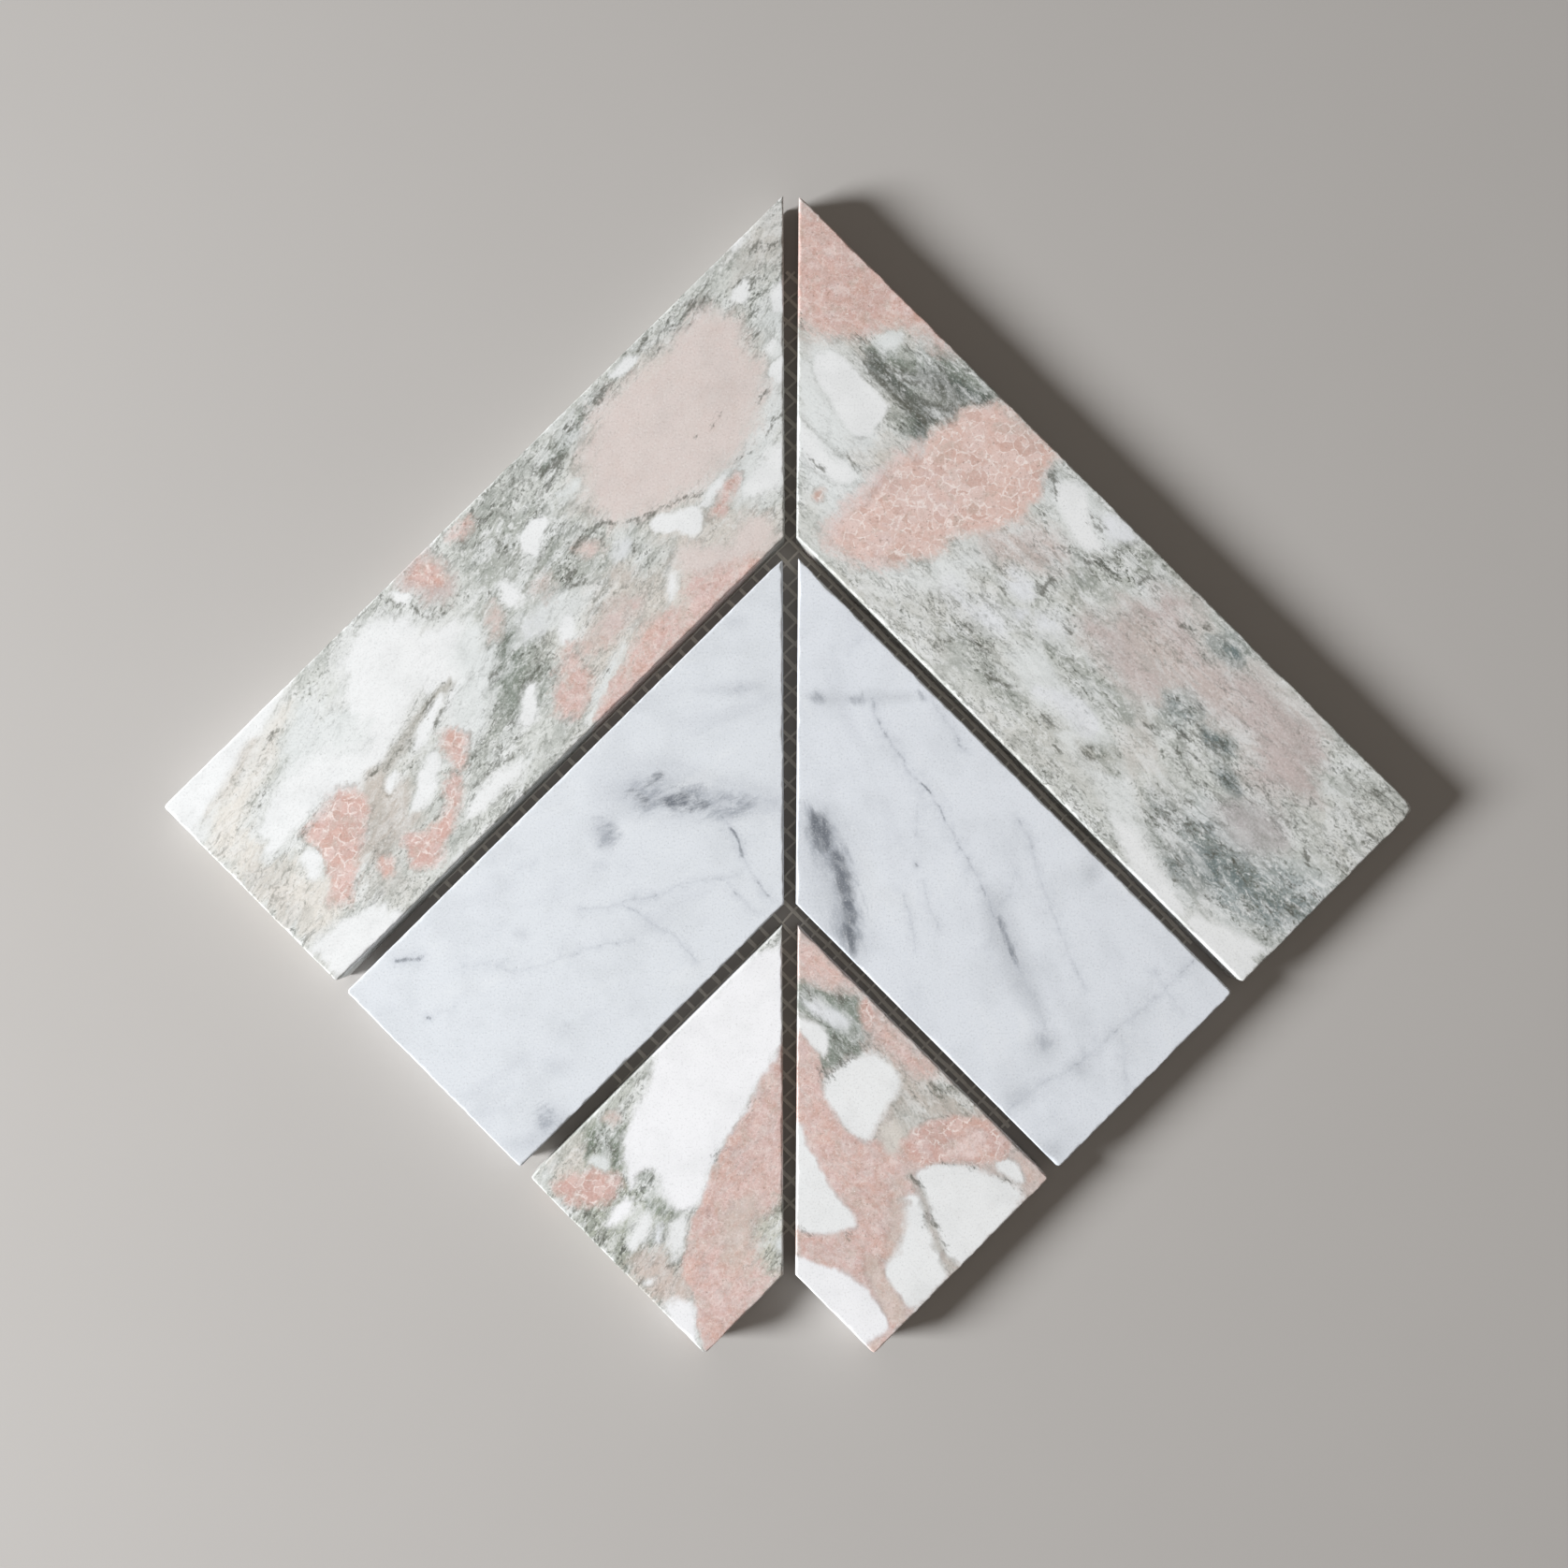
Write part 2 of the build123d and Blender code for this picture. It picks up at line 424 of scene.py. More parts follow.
def stone_finish(tree, shader, colour, place):
    """The honed face and the duller sawn sides of any strip."""
    grain = placed(tree, honed_grain, {"Color": colour, "Place": place})
    face = mark(tree, "honed")["Fac"]
    sawn = blend(tree, ramp(tree, face, 0.75, 0.2, 0, 0.34), grain["Color"], (168, 163, 156))
    tree.links.new(sawn, shader.inputs["Base Color"])
    smear = noise(tree, place, 0.12, 4)
    rough = calc(tree, "ADD", ramp(tree, face, 0.2, 0.8, 0.32, 0), ramp(tree, smear, 0.3, 0.7, 0.4, 0.52))
    tree.links.new(rough, shader.inputs["Roughness"])
    saw_lines = put(tree, "Mapping", {"Vector": place, "Scale": (0.2, 0.2, 6)}).outputs[0]
    ridges = calc(tree, "MULTIPLY", noise(tree, saw_lines, 1, 2), ramp(tree, face, 0.75, 0.2))
    height = calc(tree, "ADD", grain["Height"], ridges)
    bump = put(tree, "Bump", {"Height": height, "Strength": 0.35, "Distance": 0.00012})
    tree.links.new(bump.outputs[0], shader.inputs["Normal"])


def rose_green_marble(name, flow, tear):
    """The brecciated marble of one strip, with its flow at so many degrees from the X axis, and how far the
    edges of its clasts are torn."""
    material, tree, shader, place = new_material(name)
    along = drawn_out(tree, place, flow, breccia_grain)
    bed, patch = mark(tree, "bed"), mark(tree, "patch")
    values = {"Color": bed["Color"], "Flow": along, "Amount": bed["Alpha"]}
    colour = placed(tree, green_mottle, values)["Color"]
    depth = mark(tree, "patch_depth")["Fac"]
    values = {"Depth": depth, "Flow": along, "Place": place, "Tear": tear, "Grain": 1.5}
    inside = placed(tree, ragged_patch, values)
    values = {"Color": patch["Color"], "Place": place, "Amount": patch["Alpha"]}
    rose = placed(tree, calcite_crystals, values)["Color"]
    colour = blend(tree, calc(tree, "MULTIPLY", inside["Rim"], 0.4), colour, (110, 112, 103))
    cover = mark(tree, "patch_cover")["Fac"]
    wash = ramp(tree, noise(tree, along, 0.4, 5, 0.72, 0.5), 0.4, 0.55)
    thin = calc(tree, "MULTIPLY", calc(tree, "SUBTRACT", 1.0, cover), wash)
    colour = blend(tree, calc(tree, "MULTIPLY", inside["Mask"], calc(tree, "ADD", cover, thin)), colour, rose)
    broken = calc(tree, "SUBTRACT", noise(tree, along, 1.7, 4, 0.7, 0.5), 0.5)
    gaps = calc(tree, "SUBTRACT", noise(tree, along, 0.4, 3, 0.6), 0.5)
    line = calc(tree, "ADD", mark(tree, "streak")["Fac"], calc(tree, "MULTIPLY", broken, 2.2))
    line = calc(tree, "ADD", line, calc(tree, "MULTIPLY", gaps, 2.0))
    colour = blend(tree, ramp(tree, line, 0.2, 0.8, 0, 0.75), colour, (90, 91, 82))
    stone_finish(tree, shader, colour, place)
    return material


def sawn_back(name, colours, mottle):
    """The back of a strip, left from the saw: the same stone, dull, with glue dust over it."""
    material, tree, shader, place = new_material(name)
    colour = colours[0]
    for scale, low, high, tone in ((0.05, 0.46, 0.58, colours[1]), (0.09, 0.52, 0.66, colours[2])):
        colour = blend(tree, ramp(tree, noise(tree, place, scale, 6, 0.68, 0.8), low, high), colour, tone)
    along = drawn_out(tree, place, 45, breccia_grain)
    colour = placed(tree, green_mottle, {"Color": colour, "Flow": along, "Amount": mottle})["Color"]
    dust = ramp(tree, noise(tree, place, 0.2, 5, 0.7), 0.35, 0.7, 0.1, 0.4)
    colour = blend(tree, dust, colour, (205, 202, 196))
    grain = placed(tree, honed_grain, {"Color": colour, "Place": place})
    tree.links.new(grain["Color"], shader.inputs["Base Color"])
    shader.inputs["Roughness"].default_value = 0.8
    bump = put(tree, "Bump", {"Height": grain["Height"], "Strength": 0.5, "Distance": 0.0002})
    tree.links.new(bump.outputs[0], shader.inputs["Normal"])
    return material


def ripple(x, y, seed):
    """A smooth uneven field from about -1 to 1 over the plan, for wear and for lines drawn by nature."""
    draws = np.random.default_rng(seed)
    total = np.zeros_like(x)
    for length in (17.0, 11.0, 7.3, 4.9, 3.3, 2.3):
        turn, phase = draws.uniform(0, 2 * pi, 2)
        swing = 1.6 * np.sin((x * cos(turn + 1.9) + y * sin(turn + 1.9)) * 2 * pi / (2.7 * length))
        total += np.sin((x * cos(turn) + y * sin(turn)) * 2 * pi / length + phase + swing) * length ** 0.5
    return total / 8.5


def cut(bm, place, out, trim=False):
    bmesh.ops.bisect_plane(bm, geom=bm.verts[:] + bm.edges[:] + bm.faces[:], dist=1e-5,
                           plane_co=place, plane_no=out, clear_outer=trim)


def strip_blank(side, row, seed, chips=()):
    """One strip as a fine sheet cut to its outline, eased at the arris, and drawn down to its back.

    Side is -1 on the left of the spine and 1 on the right. Each chip is where the arris is broken, as
    run along the strip, distance across it, and depth."""
    length = longest_edge - row * row_pitch
    bm = bmesh.new()
    bmesh.ops.create_grid(bm, x_segments=round(length / mesh_cell), y_segments=round(strip_width / mesh_cell),
                          size=0.5)
    bmesh.ops.scale(bm, vec=(length, strip_width, 1), verts=bm.verts)
    bmesh.ops.translate(bm, vec=(length / 2, strip_width / 2, 0), verts=bm.verts)
    mitre_out = Vector((-strip_width, mitre_run, 0)).normalized()
    cut(bm, (0, 0, 0), mitre_out, trim=True)
    outline = ((Vector((0, 0, 0)), mitre_out), (Vector((0, 0, 0)), Vector((0, -1, 0))),
               (Vector((length, 0, 0)), Vector((1, 0, 0))), (Vector((0, strip_width, 0)), Vector((0, 1, 0))))
    for place, out in outline:
        for depth in arris_cuts:
            cut(bm, place - out * depth, out)
    points = np.array([v.co for v in bm.verts])
    u, v = points[:, 0], points[:, 1]
    inset = np.min([(np.array(place) - points) @ np.array(out) for place, out in outline], axis=0)
    wear = 0.85 + 0.3 * ripple(u, v, seed) + 0.22 * ripple(3 * u, 3 * v, seed + 1)
    ease = arris_radius * np.clip(wear, 0.45, 1.5)
    for run, across, depth in chips:
        ease = np.maximum(ease, depth - 0.55 * np.hypot(u - run, v - across))
    into = np.clip(ease - inset, 0, None)
    drop = ease - np.sqrt(np.clip(ease ** 2 - into ** 2, 0, None))
    for corner_v, way in ((0, 1), (strip_width, -1)):
        q = np.stack((u - (length - end_corner_radius), end_corner_radius - way * (v - corner_v)), 1)
        near = (q[:, 0] > 0) & (q[:, 1] > 0)
        q[near] *= (q[near].max(axis=1) / np.hypot(*q[near].T))[:, None]
        u = np.where(near, length - end_corner_radius + q[:, 0], u)
        v = np.where(near, corner_v + way * (end_corner_radius - q[:, 1]), v)
    for vert, x, y, d in zip(bm.verts, u, v, drop):
        vert.co = (x, y, strip_thickness - d)
    rim = [e for e in bm.edges if e.is_boundary]
    for level in side_levels:
        made = bmesh.ops.extrude_edge_only(bm, edges=rim)["geom"]
        rim = [g for g in made if isinstance(g, bmesh.types.BMEdge) and g.is_boundary]
        for vert in [g for g in made if isinstance(g, bmesh.types.BMVert)]:
            vert.co.z = level
    back = bmesh.ops.holes_fill(bm, edges=rim)["faces"]
    for face in back:
        face.material_index = 1
    point = Vector((side * half_point_joint, tile_point_y - row * row_pitch / diagonal, net_thickness))
    run, inward = Vector((side * diagonal, -diagonal, 0)), Vector((-side * diagonal, -diagonal, 0))
    for vert in bm.verts:
        x, y, z = vert.co
        vert.co = point + run * x + inward * y + Vector((0, 0, z))
    return bm


def rounded(outline):
    """A drawn outline with its corners cut twice, as pairs of X and Y."""
    line = np.asarray(outline, float).reshape(-1, 2)
    for _ in range(2):
        following = np.roll(line, -1, axis=0)
        line = np.stack((0.75 * line + 0.25 * following, 0.25 * line + 0.75 * following), 1).reshape(-1, 2)
    return line


def line_distance(points, line):
    """How far each point is from a line through the given points."""
    best = np.full(len(points), 1e9)
    for start, end in zip(line[:-1], line[1:]):
        run = end - start
        offset = points - start
        share = np.clip(offset @ run / max(run @ run, 1e-9), 0, 1)
        best = np.minimum(best, np.hypot(*(offset - share[:, None] * run).T))
    return best


def depth_inside(points, outline, reach):
    """How far each point lies inside a closed outline, below zero outside, out to the reach."""
    line = rounded(outline)
    depth = np.full(len(points), -reach)
    low, high = line.min(axis=0) - reach, line.max(axis=0) + reach
    near = np.all((points > low) & (points < high), axis=1)
    x, y = points[near].T
    inside = np.zeros(len(x), bool)
    for (x0, y0), (x1, y1) in zip(line, np.roll(line, -1, axis=0)):
        if y0 != y1:
            inside ^= ((y0 > y) != (y1 > y)) & (x < x0 + (y - y0) / (y1 - y0) * (x1 - x0))
    edge = line_distance(points[near], np.vstack((line, line[:1])))
    depth[near] = np.where(inside, edge, -np.minimum(edge, reach))
    return depth


def marble_strip(node, side, row, ground, clouds, patches, streaks, materials, seed, flow=None,
                 clast_pull=0.0, chips=(), streak_spread=2.6):
    """A finished strip. Clouds are soft stains in the ground and patches are clasts with an edge, each with a
    tone, a softness and an outline. Streaks are dark lines with a strength and a half width. All are drawn in
    millimetres on the plan of the tile, with X and Y in turn."""
    piece = finished(node + "_stone", strip_blank(side, row, seed, chips))
    mesh = piece.data
    points = np.empty(len(mesh.vertices) * 3)
    mesh.vertices.foreach_get("co", points)
    points = points.reshape(-1, 3) / mm
    below = net_thickness + strip_thickness - points[:, 2]
    plan = points[:, :2] + np.outer(below, side_lean)
    plan = plan + face_wander * np.stack((ripple(*plan.T, seed + 2), ripple(*plan.T, seed + 3)), 1)
    drawn_plan = plan
    if flow is not None:
        along = np.array((cos(radians(flow)), sin(radians(flow))))
        across = np.array((-along[1], along[0]))
        pulled = np.outer(ripple(plan @ along / 2.2, plan @ across * 1.7, seed + 4), along)
        drawn_plan = plan + cloud_pull * pulled
        plan = plan + clast_pull * pulled
    colour, mottle, _ = tones[ground]
    bed = np.tile((*linear(colour), mottle), (len(plan), 1))
    for tone, soft, outline in clouds:
        colour, mottle, _ = tones[tone]
        share = np.clip((depth_inside(drawn_plan, outline, 2 * soft) + soft) / (2 * soft), 0, 1)
        share = (share * share * (3 - 2 * share))[:, None]
        bed = bed * (1 - share) + np.array((*linear(colour), mottle)) * share
    patch = np.tile((*linear(tones["white"][0]), 0.0), (len(plan), 1))
    patch_depth, patch_cover = np.full(len(plan), -3.0), np.ones(len(plan))
    grains = clast_grit * ripple(*(2.5 * plan.T), seed + 5)
    seam_shade = np.clip(0.5 + 0.6 * ripple(*(0.8 * plan.T), seed + 6), 0, 1)[:, None]
    for tone, soft, outline in patches:
        colour, mottle, crystal = tones[tone]
        depth = np.clip(depth_inside(plan, outline, 3 * soft) / soft, -3, 3)
        share = np.clip(depth + grains + 0.5, 0, 1)
        share[(depth > patch_depth) & (patch_depth < 0)] = 1
        patch_cover = patch_cover * (1 - share) + (1 - mottle_through * mottle) * share
        share = share[:, None]
        patch = patch * (1 - share) + np.array((*linear(colour), crystal)) * share
        patch[:, :3] *= 1 - seam_depth * seam_shade * share * (1 - share)
        patch_depth = np.maximum(patch_depth, depth)
    streak = np.full(len(plan), -1.5)
    for strength, half_width, line in streaks:
        distance = line_distance(plan, np.asarray(line, float).reshape(-1, 2)) / (streak_spread * half_width)
        dark = strength * (0.5 * np.clip(1 - 4 * distance, 0, 1) + 0.5 * (1 - distance))
        streak = np.maximum(streak, np.where(distance < 1, dark, 1 - distance))
    honed = np.clip(1.6 - below / honed_depth, 0, 1)
    for name, kind, values in (("bed", "FLOAT_COLOR", bed), ("patch", "FLOAT_COLOR", patch),
                               ("patch_depth", "FLOAT", patch_depth), ("patch_cover", "FLOAT", patch_cover),
                               ("streak", "FLOAT", streak), ("honed", "FLOAT", honed)):
        stored = mesh.attributes.new(name, kind, "POINT")
        stored.data.foreach_set("color" if kind == "FLOAT_COLOR" else "value", values.ravel())
    for material in materials:
        mesh.materials.append(material)
    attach(piece, "root")
    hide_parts(node)
    return piece


rose_green_back = sawn_back("rose_green_sawn_back", ((196, 198, 193), (214, 194, 188), (224, 225, 223)), 0.6)

upper_left_clouds = (
    ("warm_grey", 4, (0, 143, -16, 127, -14, 118, -6, 122, 0, 121)),
    ("pale_green", 3.5, (-19, 123, -30, 112, -42, 100, -52, 90, -66, 76, -78, 64, -66, 62, -58, 68, -50, 74,
        -47, 86, -38, 96, -30, 104, -22, 113, -14, 118)),
    ("beige", 4, (-21, 114, -12, 109, -8, 100, -8, 88, -16, 73, -28, 63, -42, 59, -52, 62, -53, 74, -50, 85,
        -38, 98, -28, 107)),
    ("grey_green", 2.5, (-20, 118, -29, 111, -32, 105, -24, 108, -17, 115)),
    ("grey_green", 2.5, (-38, 104, -46, 94, -54, 86, -62, 76, -56, 72, -53, 80, -49, 89, -40, 98)),
    ("deep_green", 1.6, (-49, 91, -52, 85, -57, 79, -61, 74, -58, 73, -54, 77, -51, 82)),
    ("milk", 3, (-1, 117, -6, 114, -7, 108, -4, 100, -6, 94, -7, 88, -12, 80, -16, 74, -20, 68, -12, 64,
        -1, 66)),
    ("grey_green", 3, (-72, 66, -50, 60, -42, 55, -46, 45, -58, 40, -60, 28, -62, 12, -72, 2, -76, 12,
        -74, 30, -78, 45, -80, 58)),
    ("deep_green", 3, (-72, 33, -66, 33, -61, 27, -59, 19, -64, 12, -70, 13, -74, 21)),
    ("milk", 2.5, (-62, 42, -52, 44, -46, 44, -50, 38, -56, 30, -62, 34)),
    ("beige", 3, (-46, 46, -38, 50, -32, 46, -28, 52, -34, 58, -24, 62, -10, 62, -1, 60, -1, 55, -12, 44,
        -26, 30, -40, 16, -48, 12, -52, 18, -50, 30, -48, 38)),
    ("white", 3, (-100, 38, -92, 36, -82, 37, -77, 30, -76, 18, -80, 8, -84, 14, -88, 20, -93, 10, -98, 0,
        -106, -4, -114, -8, -120, -2, -112, 8, -108, 18, -112, 24, -106, 34)),
    ("milk", 2.5, (-80, 38, -74, 34, -72, 20, -74, 8, -80, 4, -82, 12)),
    ("white", 2, (-118, 26, -125, 12, -130, 2, -136, -5, -141.5, -13, -145, -22, -158, -10, -132, 26)),
    ("pale_beige", 2.5, (-121, 17, -127, 8, -131, 0, -137, -6.5, -142, -15, -140, -20, -131, -29, -120, -41,
        -112, -40, -106, -34, -112, -26, -119, -25, -126, -22, -132, -14, -130, -8, -127, -3, -125, 4,
        -122, 12)),
    ("beige", 1.6, (-139, -9, -134, -4, -131, 2, -128, 8, -130, 8, -134, 1, -138, -5, -142, -13)),
    ("beige", 2, (-134, -22, -128, -23, -122, -28, -117, -36, -121, -38, -127, -31)),
    ("milk", 2, (-122, 14, -116, 16, -108, 13, -100, 8, -104, 1, -112, -2, -120, -4, -124, -2)),
    ("white", 2, (-110, 5, -100, 6, -96, 4, -101, -2, -108, -6, -114, -10, -119, -16, -123, -21.5,
        -127.5, -20.5, -130, -15, -128, -9, -124.5, -3, -117, 2)),
    ("vein_beige", 1.0, (-84, 21, -82.5, 19.5, -85, 16, -88, 12, -91, 6, -96, 1, -103, -3.5, -103, -1,
        -98, 2.5, -94, 8, -91, 12.5, -88, 16.5)),
    ("brown_grey", 2.5, (-104, -3, -97, 1, -92, -8, -88, -12, -93, -16, -96, -20, -103, -24, -103, -10)),
    ("warm_grey", 3, (-103, -20, -94, -22, -88, -26, -96, -33, -104, -32)),
    ("white", 1.5, (-104, -34.5, -99, -32.5, -94, -34, -92, -36, -110, -53, -117, -44, -112, -39)),
)
upper_left_patches = (
    ("peach", 4.0, (-21.5, 113, -14, 109, -10.5, 106, -10, 101, -6, 97.5, -6.2, 92, -8.6, 87, -10.6, 81,
        -15.4, 74.4, -19, 70.4, -24, 67, -29, 65, -36, 62, -42.5, 61, -49, 62, -49, 67, -50, 72, -50, 78.5,
        -48, 84, -45, 89.5, -40, 95, -35.7, 98, -31, 101.6, -27, 107, -23.5, 111)),
    ("white", 1.4, (-14.5, 126.5, -12, 127, -11.5, 130, -14, 130)),
    ("white", 0.8, (-14, 113, -10, 114, -9.5, 118, -11, 120.5, -14, 117)),
    ("white", 0.8, (-1, 121, -4, 118, -6, 114, -4, 111.5, -1, 112)),
    ("white", 1.5, (-7, 102, -4, 105, -3, 103, -5, 101)),
    ("white", 0.8, (-1, 102, -4, 100, -5.5, 97, -3, 94.5, -1, 95)),
    ("white", 0.9, (-45, 95, -41, 96, -37, 100, -39, 101, -44, 97)),
    ("white", 1.7, (-9, 72, -5, 78, -1, 79, -1, 71, -4, 68, -12, 67)),
    ("white", 0.8, (-66.6, 55.5, -64.5, 59.3, -60.2, 61.2, -59.1, 59.8, -60.2, 54, -61.8, 50.7, -65, 51.8)),
    ("milk", 1.5, (-58, 66, -54, 69, -51, 71, -52, 67, -55, 65)),
    ("white", 0.9, (-35, 60.5, -31, 62.5, -22, 65, -20.5, 60, -22, 56, -27, 57, -33, 57.5)),
    ("white", 1.2, (-22, 65, -17, 72, -15, 73, -17, 68, -20, 63)),
    ("white", 1.4, (-71.4, 44.8, -69.3, 45.9, -64.5, 42.1, -66, 39.5, -68.8, 39, -70.4, 42.1)),
    ("white", 1.2, (-56, 37, -53, 38, -52, 34, -53, 30, -56, 29.5, -56.5, 33)),
    ("white", 1.4, (-62, 20.5, -64, 19, -66, 14, -65.5, 10.5, -63, 10, -61, 14, -61, 18)),
    ("lavender", 3.0, (-66, 36, -61, 39, -59, 36, -61, 32, -65, 31)),
    ("lavender", 1.5, (-44, 52, -42, 55, -39, 55, -40, 51, -43, 50)),
    ("salmon", 1.9, (-18, 66, -14, 72, -12.5, 72, -14, 66, -17, 63)),
    ("deep_salmon", 1.9, (-20, 62, -18, 65, -15.5, 64.5, -15.5, 61.5, -18, 60)),
    ("salmon", 2.2, (-83, 55, -81, 58.5, -78.5, 61, -77, 60, -79, 57)),
    ("rose_grey", 2.6, (-96, 45.5, -93, 49.5, -89, 52.5, -86, 52, -84, 49, -81.5, 47, -81.5, 43, -83, 40,
        -88, 39.5, -91, 41, -92, 43.5, -95, 44)),
    ("deep_salmon", 3.0, (-94, 46.5, -90, 51, -86.5, 51.5, -83.5, 48, -84, 44.5, -88, 44, -91, 45)),
    ("white", 1.2, (-97, 43, -93, 43, -91, 41, -93, 39.8, -96, 40.5)),
    ("pale_rose", 2.3, (-73, 41, -70.5, 40.5, -70, 36, -71, 31, -73.5, 31)),
    ("pale_rose", 3.8, (-62, 46, -59, 47, -58, 44, -60, 42, -62, 43)),
    ("pale_rose", 2.1, (-54, 52.5, -52, 55, -48, 56, -45.5, 55, -45, 52.5, -48, 51.5)),
    ("brown_grey", 2.3, (-44, 47, -41, 49, -38, 48.5, -39, 46, -43, 45.5)),
    ("salmon", 2.8, (-54, 31, -51, 28, -49, 22, -48.5, 17, -51, 13.5, -55, 13, -57.5, 16, -57, 20,
        -55.5, 25)),
    ("pale_rose", 2.7, (-52, 29, -49, 34, -45, 38, -41, 42, -36, 41, -39, 36, -43, 31, -47, 28, -50, 26.5)),
    ("peach", 3.0, (-2, 57, -8, 62, -14, 58, -16, 53, -22, 55, -28, 53, -27, 48, -22, 46, -14, 48, -6, 53)),
    ("salmon", 2.5, (-27, 46, -24, 39.5, -30, 38, -36, 34, -37, 30, -40, 26, -43, 21, -46, 17, -48, 12,
        -44, 11, -36, 19, -26, 29, -16, 39, -4, 51, -8, 53, -16, 49, -22, 48)),
    ("milk", 2.2, (-50, 11, -47, 18, -44, 25, -41, 30, -39, 31, -41, 26, -44, 20, -48, 12)),
    ("white", 1.4, (-31, 44, -28, 50, -27, 44, -29, 40)),
    ("deep_salmon", 2.2, (-84.5, 9, -82, 10.5, -79.5, 8, -78, 4, -79, -1, -82, 0.5, -84.5, 4)),
    ("deep_salmon", 2.0, (-118, -16, -114, -11, -110, -7, -107, -5, -104, -6, -102, -9, -103, -14,
        -104, -20, -105, -26, -105, -31, -108, -34, -110.5, -33, -111, -27, -113, -22, -114, -18,
        -116, -18.5)),
    ("deep_salmon", 2.0, (-94, -16.5, -90, -16, -87.5, -14.5, -85, -12, -83, -9, -84.5, -6, -83, -1, -80, 0,
        -79.5, -8, -81, -13, -83, -17, -83.5, -21, -85, -23.5, -88, -24, -91, -22.5, -94, -20)),
    ("deep_salmon", 1.7, (-99, -21, -97, -22, -96, -25, -98, -27, -99.5, -25)),
    ("white", 1.0, (-86, 17.5, -84, 18, -84.5, 14, -87, 9, -90, 4, -91, 7, -89, 12)),
    ("white", 1.0, (-95, 0, -97.5, -2, -98.5, -5.5, -96.5, -6.5, -94.5, -3)),
    ("white", 1.2, (-88, 4, -85, 4, -85, -3, -87, -8, -91, -11, -91, -6)),
    ("white", 1.4, (-119, -20, -113, -19.5, -113, -26, -117, -27)),
    ("white", 1.4, (-78, -10, -74, -3, -68, 1, -64, 2, -66, -2, -72, -8, -77, -12)),
)
upper_left_streaks = (
    (0.8, 0.6, (-10, 127, -8, 128.6)),
    (0.8, 0.7, (-5, 127, -3, 128.6)),
    (0.9, 0.5, (-14, 117, -12, 119.5)),
    (0.9, 0.5, (-10, 116.5, -8.5, 119)),
    (0.7, 1.0, (-9, 105, -7.5, 107)),
    (0.8, 0.9, (-31, 107, -28, 109, -24, 113)),
    (0.7, 0.9, (-39, 101, -35, 105)),
    (0.7, 1.0, (-48, 90, -45, 93)),
    (0.8, 0.9, (-54, 82, -50, 86)),
    (0.8, 1.0, (-60, 72, -57, 74, -54, 77)),
    (0.9, 0.5, (-59.5, 77.5, -57.5, 78.6)),
    (0.6, 1.0, (-67, 69, -64, 71)),
    (0.5, 0.5, (-19, 84, -17, 86)),
    (0.6, 0.4, (-23.2, 81, -22.8, 81.4)),
    (0.75, 0.6, (-21, 67.5, -28, 65, -35, 62, -40, 60, -45, 60, -50, 58)),
    (0.7, 0.6, (-16.5, 74, -9, 77.5)),
    (0.8, 0.6, (-8, 89, -5, 92)),
    (0.5, 0.4, (-5.5, 82, -4.5, 85.5, -2, 86.5)),
    (0.7, 0.8, (-54.5, 43.5, -51, 45, -46.5, 44.5)),
    (0.7, 0.5, (-38, 56, -39, 50)),
    (0.8, 1.0, (-54, 46.5, -52, 48.5)),
    (0.8, 0.7, (-73.5, 21.5, -71.5, 23.5)),
    (0.6, 1.0, (-65, 20.5, -61, 24)),
    (0.7, 0.6, (-74, 40.5, -73, 42.5)),
    (0.6, 0.7, (-79, 46, -77, 48)),
    (0.6, 0.6, (-46, 22, -44, 24)),
    (0.6, 0.5, (-73, 1, -67.5, 2.5)),
    (0.6, 0.5, (-53.5, 52, -53, 54, -50, 56.4, -46, 56, -44.6, 53)),
    (0.8, 0.45, (-97.5, 41, -96, 40, -93, 39.5, -91, 38.5, -90, 37, -87, 36.8, -84.5, 37.5, -84, 38.5)),
    (0.45, 0.8, (-84, 20.5, -88, 16, -91, 11, -94, 6, -98, 1, -102, -2)),
    (0.8, 0.6, (-84.6, 20.4, -83.4, 20.6)),
    (0.6, 0.6, (-82.6, 19, -83.6, 15, -86, 11, -85.5, 9)),
    (0.6, 0.6, (-126, -5, -129, -9.5)),
    (0.5, 0.6, (-124, 10, -129, 2)),
    (0.6, 0.5, (-114, 16.5, -113, 17.5)),
    (0.6, 0.45, (-89, -14, -84.5, -11)),
    (0.5, 0.5, (-101, -23, -100.5, -20)),
    (0.45, 0.5, (-118, -17, -114, -12, -110, -8)),
)
upper_left = marble_strip(
    "upper_left_strip", left, upper_row, "pale_green", upper_left_clouds, upper_left_patches,
    upper_left_streaks, (rose_green_marble("upper_left_marble", flow=54, tear=3.0), rose_green_back),
    seed=11, flow=54, clast_pull=0.6)

